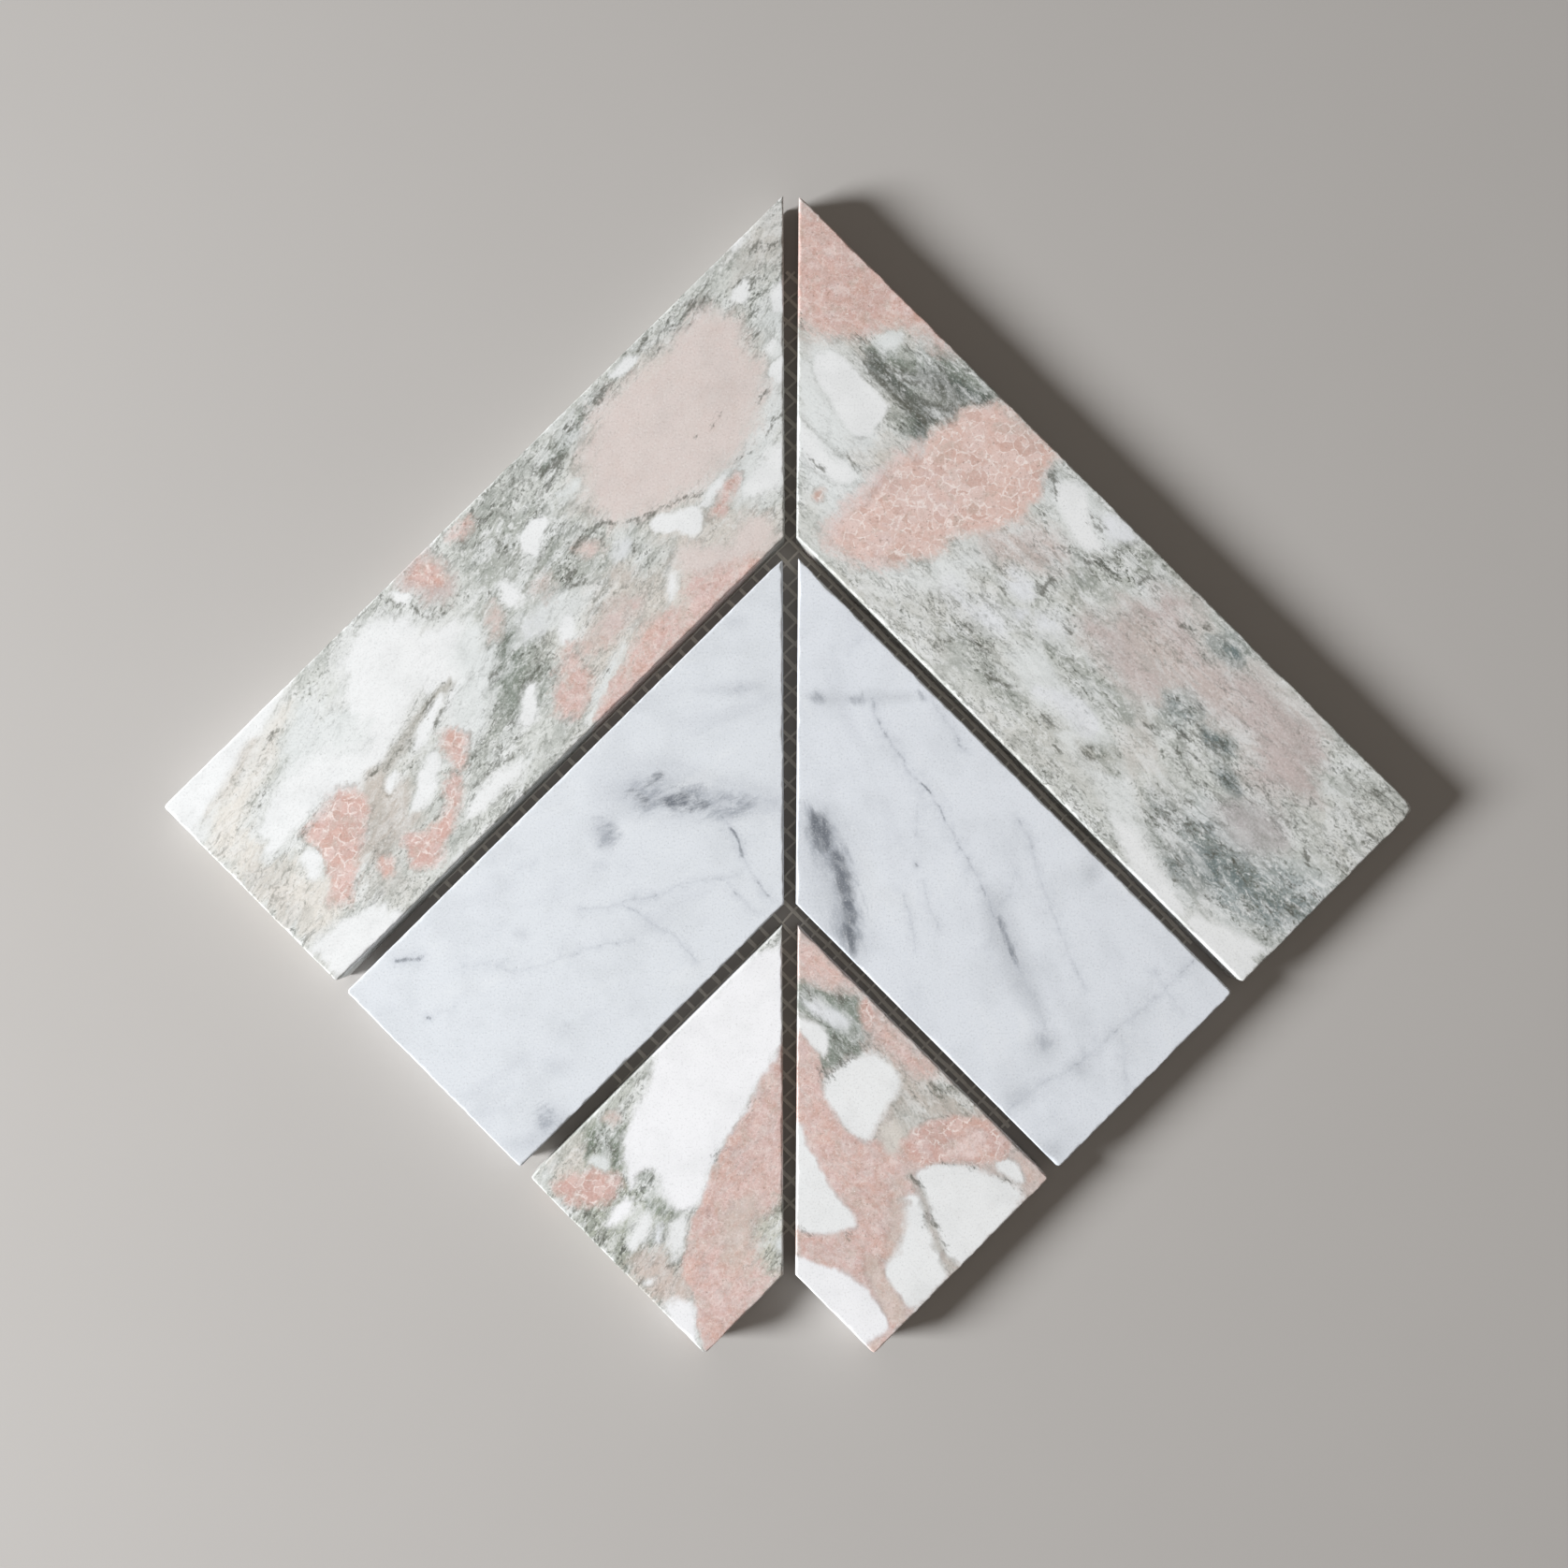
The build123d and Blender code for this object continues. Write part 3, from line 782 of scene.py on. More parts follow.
upper_right_clouds = (
    ("beige", 4, (1, 120, 1, 104, 8, 104, 16, 103, 20, 107, 30, 104, 40, 104, 30, 114)),
    ("deep_green", 2, (16, 103.5, 22, 103.5, 30, 101.5, 37, 102, 44, 98, 52, 90, 46, 88, 40, 87, 36, 84.5,
        32, 80, 28, 80, 25, 82.5, 23, 86, 27, 89.5, 24, 93, 20, 97)),
    ("pale_green", 1.6, (20, 86, 23, 87.5, 26, 86, 26, 82.5, 22, 82)),
    ("dark_green", 1.8, (27, 82, 33, 81, 37, 85.5, 42, 88.5, 51, 90, 46, 93, 38, 91, 33, 90, 28, 87)),
    ("dark_green", 1.5, (16, 102, 21, 101.5, 25, 97, 30, 93, 32, 88, 29, 86.5, 25, 90.5, 20, 95, 16, 99)),
    ("dark_green", 2.0, (27, 97, 35, 97.5, 43, 94, 46, 91.5, 40, 90.5, 32, 91.5)),
    ("milk", 3, (1, 108, 8, 104, 14, 101, 20, 95, 22, 88, 22, 81, 30, 80, 35, 80, 32, 75, 22, 68, 12, 60,
        9, 53, 16, 50, 30, 49, 42, 55, 50, 56, 46, 46, 36, 40, 18, 46, 1, 60)),
    ("beige", 3, (19, 80, 27, 79, 30, 76, 22, 73, 16, 74)),
    ("ash", 3, (1, 68, 8, 66, 9, 56, 2, 54)),
    ("pale_rose", 3, (45, 57, 52, 60, 60, 60, 66, 57, 68, 53, 66, 49, 60, 48, 52, 49, 48, 52)),
    ("milk", 3, (62, 72, 70, 72, 74, 70, 86, 56, 78, 54, 72, 52, 67, 58, 63, 64)),
    ("grey_green", 3, (66, 50, 80, 52, 90, 54, 98, 45, 90, 45, 80, 44, 68, 38)),
    ("rose_grey", 4, (68, 34, 72, 37, 80, 39, 86, 43, 95, 44, 100, 40, 98, 33, 103, 25, 112, 25, 118, 20,
        126, 13, 132, 6, 134, 0, 131, -6, 122, -8, 115, -5, 110, -2, 112, 4, 109, 9, 102, 11, 98, 18,
        92, 20, 86, 15, 80, 20, 74, 28)),
    ("pale_rose", 3, (80, 37, 88, 36, 93, 29, 104, 22, 112, 14, 102, 16, 94, 22, 84, 28)),
    ("cool_white", 2, (38, 47, 41, 45, 43, 41, 49, 41, 52, 37, 53, 33, 48, 33, 43, 36, 40, 40, 37, 44)),
    ("cool_white", 1.8, (51, 48, 55, 48.5, 60, 46, 60, 42, 56, 41.5, 52, 44)),
    ("cool_white", 1.8, (53, 40, 57, 40, 58, 35, 55, 34.5)),
    ("cool_white", 2, (59, 38, 65, 38, 66, 33, 61, 31)),
    ("milk", 2.5, (55, 31, 62, 30, 66, 21, 74, 14, 79, 8, 83, -6, 86, -18, 80, -18, 76, -6, 70, 2, 64, 8,
        60, 15, 53, 25)),
    ("cool_white", 1.6, (60, 20, 66, 20, 71, 17, 75, 13, 74, 9, 70, 9, 67, 13, 60, 17)),
    ("grey_green", 2.5, (34, 34, 42, 36, 50, 30, 44, 29, 36, 31)),
    ("grey_green", 2.2, (44, 25, 49, 25, 58, 18, 60, 14, 54, 17, 46, 20)),
    ("grey_green", 2.2, (62, 30, 69, 31, 76, 22, 84, 12, 80, 10, 74, 17, 67, 24)),
    ("grey_green", 2, (58, 13, 66, 12, 66, 8, 60, 8)),
    ("grey_green", 2.5, (69, 6.5, 79, 6, 81, 1, 73, 0)),
    ("warm_grey", 2.5, (82, 14, 90, 12, 90, 0, 82, -2, 80, 4)),
    ("blue_green", 2, (89, 18, 96, 19, 100, 14, 97, 10.5, 91, 12)),
    ("pale_green", 2.5, (90, 8, 99, 9, 101, 3, 96, -4, 89, -2)),
    ("deep_blue", 1.8, (100, 10, 105, 9, 110, 5, 107, 2.5, 103, 4, 100, 7)),
    ("deep_blue", 1.8, (101, 2, 107, 0.5, 110, -4, 108, -7, 103, -3)),
    ("deep_blue", 2, (102, 34, 109, 32, 112, 27, 107, 25.5, 103, 30)),
    ("blue_green", 4, (86, -8, 98, -6, 106, -12, 116, -22, 130, -26, 132, -30, 120, -42, 108, -38, 98, -33,
        88, -24)),
    ("lilac_grey", 4.5, (104, -7, 113, -6, 121, -12, 119, -21, 111, -21, 104, -14)),
    ("deep_blue", 2.2, (92, -19, 99, -19, 106, -21, 105, -26, 97, -29, 92, -26)),
    ("deep_blue", 1.8, (106, -23, 110, -23, 114, -29, 111, -31, 107, -28)),
    ("deep_blue", 2, (111, -30, 119, -30, 126, -35, 122, -38, 115, -35)),
    ("pale_green", 3, (130, 8, 140, 4, 152, -8, 146, -16, 136, -16, 128, -8)),
    ("white", 2.2, (79, -13, 84, -14, 87, -19, 92, -26, 97, -33, 94, -37, 80, -24)),
    ("white", 1.5, (98, -34, 103, -37, 113, -42, 117, -44, 109, -53, 94, -38)),
)
upper_right_patches = (
    ("rose", 4.2, (-8, 152, -8, 110, 2, 109, 6, 107.5, 12, 105.5, 17, 106, 22, 108, 28, 107.5, 33, 105.5,
        38, 103, 46, 104)),
    ("milk", 1.4, (20, 105, 25, 107, 29, 107, 26, 102, 22, 102)),
    ("white", 1.0, (5, 101, 9, 101.8, 13, 100, 18, 95, 23, 90.5, 24.5, 88, 23, 85.5, 20.5, 83, 17.5, 81.3,
        14.5, 81.5, 12.5, 85, 9.5, 90.5, 6.5, 96)),
    ("shell", 3.0, (31, 81, 26, 76, 20, 71, 14, 65, 8, 58, 8, 53, 16, 50, 28, 49, 34, 56, 36, 70)),
    ("orange_rose", 2.2, (33, 80, 36, 83, 39, 86, 43, 88, 48, 89, 52, 89.5, 57, 85, 62, 80, 65, 77, 63, 74,
        61, 70, 60, 65, 56, 61, 50, 59, 45, 57, 42, 57, 40, 58, 38, 54, 34, 51, 28, 50.5, 22, 51, 15, 52,
        10, 54, 11, 58, 15, 62, 19, 66, 22, 70, 27, 74, 31, 76)),
    ("white", 1.8, (1, 87, 4, 83, 9, 78, 14, 74, 17, 71.5, 13, 69.5, 8, 71.5, 3, 76, 1, 79)),
    ("deep_salmon", 1.2, (5, 66, 7, 69, 8.5, 67, 7, 65)),
    ("white", 1.6, (64.5, 69, 68, 71, 72, 69, 73, 64, 73, 58, 76, 54, 71, 53, 68, 57, 66, 62)),
    ("cool_white", 1.6, (76, 62, 79, 62.5, 83, 58.5, 85, 55.5, 80, 54.5, 77, 57)),
)
upper_right_streaks = (
    (0.8, 0.6, (2.5, 109, 3, 111)),
    (0.7, 0.6, (16, 106, 18, 104)),
    (0.9, 0.7, (17, 99.5, 20, 96.5, 23, 93.5, 26.5, 90.5, 29.5, 87.5)),
    (0.7, 1.0, (19, 102, 21, 101)),
    (0.6, 0.9, (24, 98, 28, 96)),
    (0.7, 1.2, (28, 95, 31, 94)),
    (0.8, 1.3, (31, 86, 34, 84)),
    (0.7, 0.8, (34, 90.5, 38, 87.5, 43, 89, 50, 90.5)),
    (0.6, 0.9, (40, 97, 42, 95)),
    (0.5, 0.6, (37, 93, 46, 93)),
    (0.7, 0.6, (17, 72, 14, 76)),
    (0.7, 0.5, (2.5, 78, 8, 73)),
    (0.8, 0.7, (64, 71, 64.5, 68, 65.5, 65)),
    (0.6, 0.8, (73.5, 62, 74.5, 59, 76, 58)),
    (0.6, 0.5, (75, 53.8, 79, 54)),
    (0.7, 0.9, (73, 50.5, 77.5, 50.8)),
    (0.6, 0.7, (71.5, 48, 73, 46.5)),
    (0.8, 1.0, (61, 42.7, 64, 46)),
    (0.7, 0.7, (84.7, 45.5, 86.5, 46.6, 89.5, 46.3)),
    (0.6, 0.6, (71, 40, 74, 38)),
    (0.6, 0.6, (41.5, 44, 43.5, 42)),
    (0.6, 0.6, (51, 44, 53, 41.5)),
    (0.7, 0.6, (35, 32.2, 38.5, 31.2)),
    (0.6, 0.6, (43, 32, 46.5, 30.3)),
    (0.6, 0.6, (66, 36, 68, 33)),
    (0.5, 0.6, (66, 29, 69, 27)),
    (0.8, 0.9, (47, 23, 50, 21.3, 53.5, 20)),
    (0.6, 0.6, (64, 23.5, 69, 21.5)),
    (0.6, 0.5, (75.5, 19, 79, 14.5, 82, 11)),
    (0.7, 0.45, (70.5, 4.4, 72.6, 3.2)),
    (0.8, 0.5, (74.4, 2.8, 76.6, 3.4)),
    (0.7, 0.45, (77.5, 4.6, 79.2, 3)),
    (0.6, 0.4, (72, 5.6, 75, 5.2)),
    (0.7, 0.7, (61, 13, 65, 10.3)),
    (0.7, 0.5, (64.6, 5.4, 65.4, 4.6)),
    (0.8, 0.6, (87.5, 10.4, 89, 9.5)),
    (0.7, 0.8, (96, 12.5, 98, 11.5, 100, 9.3)),
    (0.6, 0.6, (92, 17.5, 95.5, 16.8)),
    (0.7, 0.5, (94, 3.8, 95.5, 3.3)),
    (0.8, 0.4, (95.5, 34.5, 98, 34, 101, 35)),
    (0.8, 0.4, (99.5, 36, 101.5, 34.5)),
    (0.6, 0.9, (103.5, 32.5, 105.5, 30)),
    (0.7, 0.9, (103, 6.5, 105.5, 4.5)),
    (0.7, 0.9, (103.5, 0, 107, -3.5)),
    (0.6, 0.6, (94, -7, 97, -7.5)),
    (0.6, 0.9, (88, -12, 96, -12.6, 100.5, -13.5)),
    (0.9, 0.9, (100, -13.3, 102.5, -15)),
    (0.7, 0.9, (93.5, -22, 95, -23.5)),
    (0.7, 0.7, (102, -21.8, 104, -20.6)),
    (0.7, 0.8, (109, -25, 111.5, -28.5)),
    (0.6, 0.8, (113, -31.5, 117, -32.5)),
    (0.6, 0.9, (120, -33, 122.5, -36)),
    (0.8, 0.7, (125.2, -20, 126.3, -23.4)),
    (0.6, 0.5, (132, -22.5, 135, -24)),
    (0.7, 0.9, (141.5, -5.8, 144, -7.8)),
    (0.7, 0.8, (140, -15.8, 142, -16.5)),
    (0.6, 0.6, (107, -34.5, 110, -34.5)),
    (0.6, 0.45, (100, -20.5, 104, -21, 107, -19.3)),
    (0.5, 0.45, (100, -30.5, 103, -31.3, 106, -33)),
    (0.6, 0.5, (110, -30.8, 114, -32, 117, -34.5, 120, -36)),
    (0.6, 0.45, (119.3, -29.5, 121, -33, 121.6, -36.5)),
    (0.5, 0.45, (128, -19, 131, -22, 134, -25)),
    (0.5, 0.4, (122, -15, 124.5, -11.5, 126, -8)),
    (0.5, 0.45, (94, -28, 99, -26, 104, -24)),
    (0.5, 0.45, (107.5, -21.5, 108.6, -25, 108, -29)),
)
upper_right = marble_strip(
    "upper_right_strip", right, upper_row, "pale_green", upper_right_clouds, upper_right_patches,
    upper_right_streaks, (rose_green_marble("upper_right_marble", flow=-43, tear=3.0), rose_green_back),
    seed=23, flow=-43, clast_pull=0.5, chips=((0, 0, 1.6), (longest_edge, 0, 2.2)))


# Middle strips: two strips of a cool white marble with soft grey veins, sawn, mitred and honed as the upper
# ones are and set one joint below them on the same net. The left one has lost the very tip of its point.
middle_row = 1
vein_spread = 4.0
tones["vein_grey"] = ((166, 172, 181), 0.0, 0.0)
tones["vein_dark"] = ((116, 122, 131), 0.0, 0.0)
tones["grey_veil"] = ((207, 212, 219), 0.0, 0.0)
tones["left_white"] = ((224, 229, 235), 0.0, 0.0)
tones["right_white"] = ((226, 231, 238), 0.0, 0.0)


def white_marble(name, flow, body):
    """Cool white marble: a clouded ground, grey stains along the flow, wispier where their body is less, and
    fine veins, each a dark broken core in a soft halo."""
    material, tree, shader, place = new_material(name)
    along = drawn_out(tree, place, flow, (2.6, 1, 1))
    bed = mark(tree, "bed")["Color"]
    veil = noise(tree, along, 0.09, 6, 0.6)
    colour = blend(tree, ramp(tree, veil, 0.52, 0.72, 0, 0.4), bed, (207, 212, 220))
    colour = blend(tree, ramp(tree, veil, 0.46, 0.3, 0, 0.4), colour, (234, 238, 242))
    depth = mark(tree, "patch_depth")["Fac"]
    values = {"Depth": depth, "Flow": along, "Place": along, "Tear": 5.0, "Grain": 1.2}
    stain = placed(tree, ragged_patch, values)["Mask"]
    wisps = ramp(tree, noise(tree, along, 0.5, 6, 0.66, 0.8), 0.34, 0.6, body, 1)
    colour = blend(tree, calc(tree, "MULTIPLY", stain, wisps), colour, mark(tree, "patch")["Color"])
    broken = calc(tree, "SUBTRACT", noise(tree, place, 0.5, 5, 0.7), 0.5)
    line = calc(tree, "ADD", mark(tree, "streak")["Fac"], calc(tree, "MULTIPLY", broken, 1.1))
    colour = blend(tree, ramp(tree, line, -0.1, 0.7, 0, 0.5), colour, (182, 188, 198))
    colour = blend(tree, ramp(tree, line, 0.36, 0.78, 0, 0.8), colour, (126, 132, 141))
    stone_finish(tree, shader, colour, place)
    return material


white_back = sawn_back("white_sawn_back", ((218, 221, 224), (210, 214, 218), (227, 229, 231)), 0.0)

middle_left_clouds = (
    ("grey_veil", 4, (-48, -2, -34, 1, -26, 0, -16, -4, -6, -5, -1, -7, -1, -12, -14, -11, -30, -12,
        -44, -11)),
    ("grey_veil", 2.5, (-24, 19, -18, 19.5, -12, 21.5, -7, 20.5, -7, 18.8, -14, 18)),
    ("grey_veil", 2.5, (-17, 35, -13, 37, -11, 36, -14, 34.5)),
    ("grey_veil", 2.5, (-48, -12, -44, -11.5, -41.5, -15, -43, -20, -48, -19)),
    ("grey_veil", 2.0, (-67, -40, -65, -39, -63.5, -40.5, -65, -41.5)),
    ("grey_veil", 3.0, (-60, -71, -56, -70, -53, -72, -57, -74)),
    ("grey_veil", 3.0, (-70, -91, -62, -88, -60, -82, -55, -81, -52, -85, -53, -88, -62, -93)),
)
middle_left_stains = (
    ("vein_grey", 2.6, (-40, -5, -33, -3, -26, -5, -18, -6, -8, -7.5, -12, -9.5, -20, -10.5, -30, -10.5,
        -38, -8.5)),
    ("vein_dark", 1.4, (-35.5, -4.4, -33, -2, -30.3, -0.8, -31.5, -2.6, -33.5, -4)),
    ("vein_dark", 1.6, (-39.5, -5.5, -36.5, -6, -34.2, -8, -36, -8.8, -38.5, -7.2)),
    ("vein_dark", 1.6, (-31.5, -7.5, -28, -6, -24, -6.5, -20, -8, -21, -10, -25, -10.3, -29.5, -9.6)),
    ("vein_grey", 1.4, (-29.5, -4.6, -26, -4, -22, -5.6, -25, -6.4)),
    ("vein_grey", 1.6, (-16, -6.8, -12, -6.6, -7.5, -8.5, -11, -9.5, -15, -9)),
    ("vein_grey", 2.2, (-62, -83, -59, -81.5, -56, -83.5, -57, -87, -61, -88)),
    ("vein_grey", 1.5, (-14, 19.6, -12, 20.5, -10, 20, -12, 19.4)),
    ("vein_grey", 2.4, (-47, -13, -44.5, -13.5, -43, -17, -45.5, -18.5)),
)
middle_left_veins = (
    (0.35, 0.8, (-12, -6, -7, -7.2, -3, -9)),
    (0.5, 0.5, (-17, -11, -15, -14, -13, -17, -11.5, -21, -9, -25, -7, -29, -4.5, -32)),
    (0.85, 0.6, (-14.5, -14.5, -12.5, -18.5, -11.5, -21)),
    (0.5, 0.4, (-17, -15, -14.5, -14.5)),
    (0.45, 0.5, (-51, -34.5, -46, -33.8, -40, -33, -36, -35.5, -32, -38, -28, -40, -26, -43, -23, -47)),
    (0.45, 0.5, (-41, -32.5, -33, -31, -25, -28, -19, -26.5, -16, -26.8, -13, -30, -10, -33, -8, -35)),
    (0.4, 0.4, (-17, -26.5, -12, -25.5, -10.5, -24)),
    (0.4, 0.6, (-79, -47.5, -73, -47.3, -68, -48.6, -60, -48, -52, -44.5, -45, -42.5, -38, -41.5)),
    (0.75, 0.7, (-95, -47, -92, -46.5, -89.5, -46)),
    (0.5, 0.5, (-89.5, -45.7, -88.5, -45.3)),
    (0.8, 0.4, (-87.8, -60.6, -87.2, -60.4)),
    (0.25, 0.5, (-87, -60.3, -81, -58)),
    (0.5, 0.35, (-54.3, -62, -53.8, -62)),
    (0.35, 0.5, (-47, -23.5, -45, -23.5)),
    (0.3, 0.6, (-66, -24.5, -62, -23.5)),
)
middle_left = marble_strip(
    "middle_left_strip", left, middle_row, "left_white", middle_left_clouds, middle_left_stains,
    middle_left_veins, (white_marble("middle_left_marble", flow=24, body=0.2), white_back),
    seed=37, chips=((0, 0, 2.4),), streak_spread=vein_spread)

middle_right_clouds = (
    ("grey_veil", 4, (2, -8, 10, -8, 16, -18, 19, -30, 19, -46, 12, -46, 8, -36, 6, -26, 2, -20)),
    ("grey_veil", 2.0, (4, 18.5, 16, 18, 30, 18.5, 30, 16.5, 18, 15.8, 5, 16.3)),
    ("grey_veil", 3.0, (57, -66, 61, -62, 66, -66, 62, -71)),
    ("grey_veil", 2.5, (67, -71, 71, -69, 73, -73, 69, -75)),
    ("grey_veil", 3.0, (51, -78, 56, -76, 59, -80, 54, -82)),
    ("grey_veil", 2.5, (61, -91, 65, -89, 67, -92, 63, -95)),
    ("grey_veil", 2.5, (71, -23, 75, -23, 75, -27, 71, -27)),
    ("grey_veil", 3.0, (45, -30, 50, -28, 56, -40, 60, -52, 62, -62, 56, -58, 50, -46)),
)
middle_right_stains = (
    ("vein_grey", 2.2, (3.8, -9.5, 8, -9, 10, -12, 12, -18, 14, -23, 16, -31, 16.6, -38, 16.6, -47,
        11.5, -42, 11, -32, 9.5, -26, 6.5, -22.5, 4.5, -17)),
    ("vein_dark", 1.5, (4.8, -10.3, 7.6, -10, 9, -14, 10, -18.5, 8.5, -20, 6.5, -19.5, 5.2, -15)),
    ("vein_dark", 1.5, (9.5, -20, 12.3, -20.5, 14, -25.5, 15.3, -32, 15.6, -38, 15.4, -46, 13.4, -43,
        13, -34, 12, -28, 10, -23.5)),
    ("vein_grey", 1.5, (5.5, 18, 7.5, 18, 7.5, 16.8, 5.5, 16.8)),
    ("vein_grey", 1.5, (14.5, 17.6, 16.5, 17.4, 16.5, 16.4, 14.5, 16.5)),
    ("vein_grey", 1.2, (30.6, 19.4, 32, 18.4, 32.8, 16.8, 31.2, 17.4)),
    ("vein_dark", 1.1, (50.6, -36, 51.6, -37, 53, -40.5, 54.4, -45, 54.6, -47.2, 53.4, -46, 52.2, -42)),
    ("vein_grey", 1.6, (59, -65.5, 61, -64, 63, -66.5, 61, -68.5)),
)
middle_right_veins = (
    (0.5, 0.7, (20, 17, 20.5, 13, 22, 10, 26, 4, 29, -1, 33, -5, 36.5, -10, 38, -13, 41, -18, 44, -24,
        47, -30, 50, -36)),
    (0.8, 0.4, (31.5, -3.3, 33.8, -6)),
    (0.75, 0.4, (36.3, -9.5, 37.8, -12.3)),
    (0.4, 0.5, (34, 17, 37, 13, 40, 9, 43, 4)),
    (0.6, 0.4, (41, 6.5, 42.5, 4.5)),
    (0.6, 0.5, (50.5, -36, 52, -39, 53.5, -44, 54.5, -47)),
    (0.3, 0.8, (50.5, -37, 48.5, -40, 47, -43)),
    (0.35, 0.8, (54.5, -47, 57, -51.5, 60, -58, 62, -64)),
    (0.45, 0.5, (27.5, -30, 29, -36, 30.5, -44)),
    (0.4, 0.5, (32.5, -28, 34, -34, 36, -39)),
    (0.6, 0.4, (30.3, -23.2, 30.8, -23.8)),
    (0.35, 0.6, (32, -5, 31, -10, 30.5, -16)),
    (0.4, 0.6, (55, -12, 58, -17, 60, -24, 62, -30, 65, -38, 68, -46, 71, -53)),
    (0.35, 0.8, (54, -26, 53, -31, 50, -34)),
    (0.4, 0.7, (98, -46, 93, -51, 90, -54, 84, -59, 77, -65, 70, -71, 60, -77, 53, -82)),
    (0.35, 0.6, (88, -49, 91, -54, 95, -59)),
    (0.25, 0.8, (80, -64, 81, -72, 82, -80)),
    (0.25, 0.6, (15, 29, 18, 33)),
)
middle_right = marble_strip(
    "middle_right_strip", right, middle_row, "right_white", middle_right_clouds, middle_right_stains,
    middle_right_veins, (white_marble("middle_right_marble", flow=-66, body=0.6), white_back),
    seed=41, streak_spread=vein_spread)


# Lower strips: two short strips of the rose and green marble, cut from paler and pinker parts of the slab,
# that close the point of the chevron below the white ones.
lower_row = 2

lower_left_clouds = (
    ("olive", 3, (-62, -98, -33, -68, -38, -92, -30, -104, -22, -106, -27, -122, -34, -128)),
    ("beige", 2, (-60, -97, -54, -92, -49, -88, -47, -92, -49, -97, -56, -99)),
    ("deep_olive", 1.8, (-50, -88, -46, -84, -42, -86, -39, -92, -41, -97, -45, -93, -49, -94)),
    ("pale_green", 2, (-44, -82, -38, -76, -33, -71, -34, -78, -39, -85, -41, -86)),
    ("deep_olive", 2, (-38, -97, -34, -97, -31, -102, -28, -106, -25, -106, -29, -110, -33, -106,
        -38, -103)),
    ("olive", 2, (-54, -106, -46, -107, -38, -112, -30, -108, -26, -114, -30, -122, -38, -119, -46, -112)),
    ("rose_beige", 2.5, (-41, -118, -33, -115, -26, -118, -22, -126, -27, -131, -34, -128)),
    ("pale_rose", 2.5, (-1, -64, -10, -81, -20, -100, -26, -116, -22, -134, -20, -142, 0, -122)),
    ("pale_olive", 2.5, (1, -100, -5, -104, -11, -111, -13, -119, -7, -125, 1, -123)),
)
lower_left_patches = (
    ("salmon", 0.9, (0, -64, -4, -69, -7, -74, -10, -81, -14, -87, -18, -94, -21, -102, -23, -108,
        -25, -114, -26, -121, -23, -127, -22, -134, -20, -142, -8, -130, -14, -122, -15, -112, -11, -102,
        -7, -90, -3, -78)),
    ("salmon", 3.2, (0, -64, -3, -72, -12, -88, -19, -104, -21, -118, -20, -138, -1, -122.5, -6, -121,
        -9, -116, -8, -109, -4, -105, 1, -101)),
    ("rose_beige", 3.0, (-16, -107, -11, -102, -6, -103, -8, -109, -9, -115, -10, -121, -15, -122,
        -17, -114)),
    # Painted light: this white zone takes the brighter copy of the white, so that it reads as more strongly
    # lit.
    ("painted_lit_white", 1.7, (0, -36, -33, -68, -33, -70, -34, -76, -37, -81, -39, -86, -40, -92, -39.5, -97,
        -38.5, -101, -37.3, -100, -36.8, -97.5, -34.5, -97, -32, -98.5, -31, -101, -29.5, -104, -27, -106.5,
        -24, -107, -21.5, -105, -19.5, -98.5, -17, -92.5, -14, -88, -10.5, -83, -8, -78.5, -5, -73,
        0, -65)),
    ("milk", 1.6, (1, -111, -3, -113, -4, -115.5, -2, -117, 1, -116.5)),
    ("deep_salmon", 1.8, (-57, -99.5, -53, -97.5, -47, -97, -42, -97, -40, -99.5, -43, -103.5, -47, -105.5,
        -52, -106, -56, -103)),
    ("pale_rose", 1.6, (-46, -84.5, -43, -82.5, -40.5, -84, -43, -86)),
    ("milk", 1.0, (-49, -94, -45, -93, -43, -96, -44, -98, -47, -96.5)),
    # Painted light: this white zone takes the brighter copy of the white, so that it reads as more strongly
    # lit.
    ("painted_lit_white", 1.5, (-45, -110, -41, -104, -38.5, -103.5, -38.5, -107.5, -43, -111)),
    ("white", 1.5, (-35, -106, -33, -108, -34, -113, -38, -117, -39, -115, -37, -110)),
    ("white", 1.5, (-25, -107, -24, -110, -26, -117, -28.5, -119, -30, -113, -28, -109)),
    ("cool_white", 1.2, (-32, -109, -30.5, -109, -31, -115, -32.5, -114)),
    # Painted light: this white zone takes the brighter copy of the white, so that it reads as more strongly
    # lit.
    ("painted_lit_white", 1.4, (-30, -130, -27, -127, -24, -128, -22, -131, -22, -136, -23, -140, -30, -132)),
    ("white", 1.0, (-35, -124, -33.5, -122.5, -31.5, -122, -33, -124.5)),
)
lower_left_streaks = (
    (0.8, 0.9, (-46.5, -88, -45.5, -90)),
    (0.8, 0.7, (-47.5, -91.5, -46.5, -93)),
    (0.7, 0.7, (-43.5, -90, -42.5, -92)),
    (0.6, 0.6, (-52, -107, -47, -108)),
    (0.5, 0.5, (-37, -99, -33, -101)),
    (0.5, 0.5, (-37, -77, -36, -74)),
    (0.35, 0.5, (-6, -73, -9, -80, -14, -88, -19, -96)),
)
lower_left = marble_strip(
    "lower_left_strip", left, lower_row, "pale_green", lower_left_clouds, lower_left_patches,
    lower_left_streaks, (rose_green_marble("lower_left_marble", flow=58, tear=2.6), rose_green_back),
    seed=53, flow=58, clast_pull=0.2)

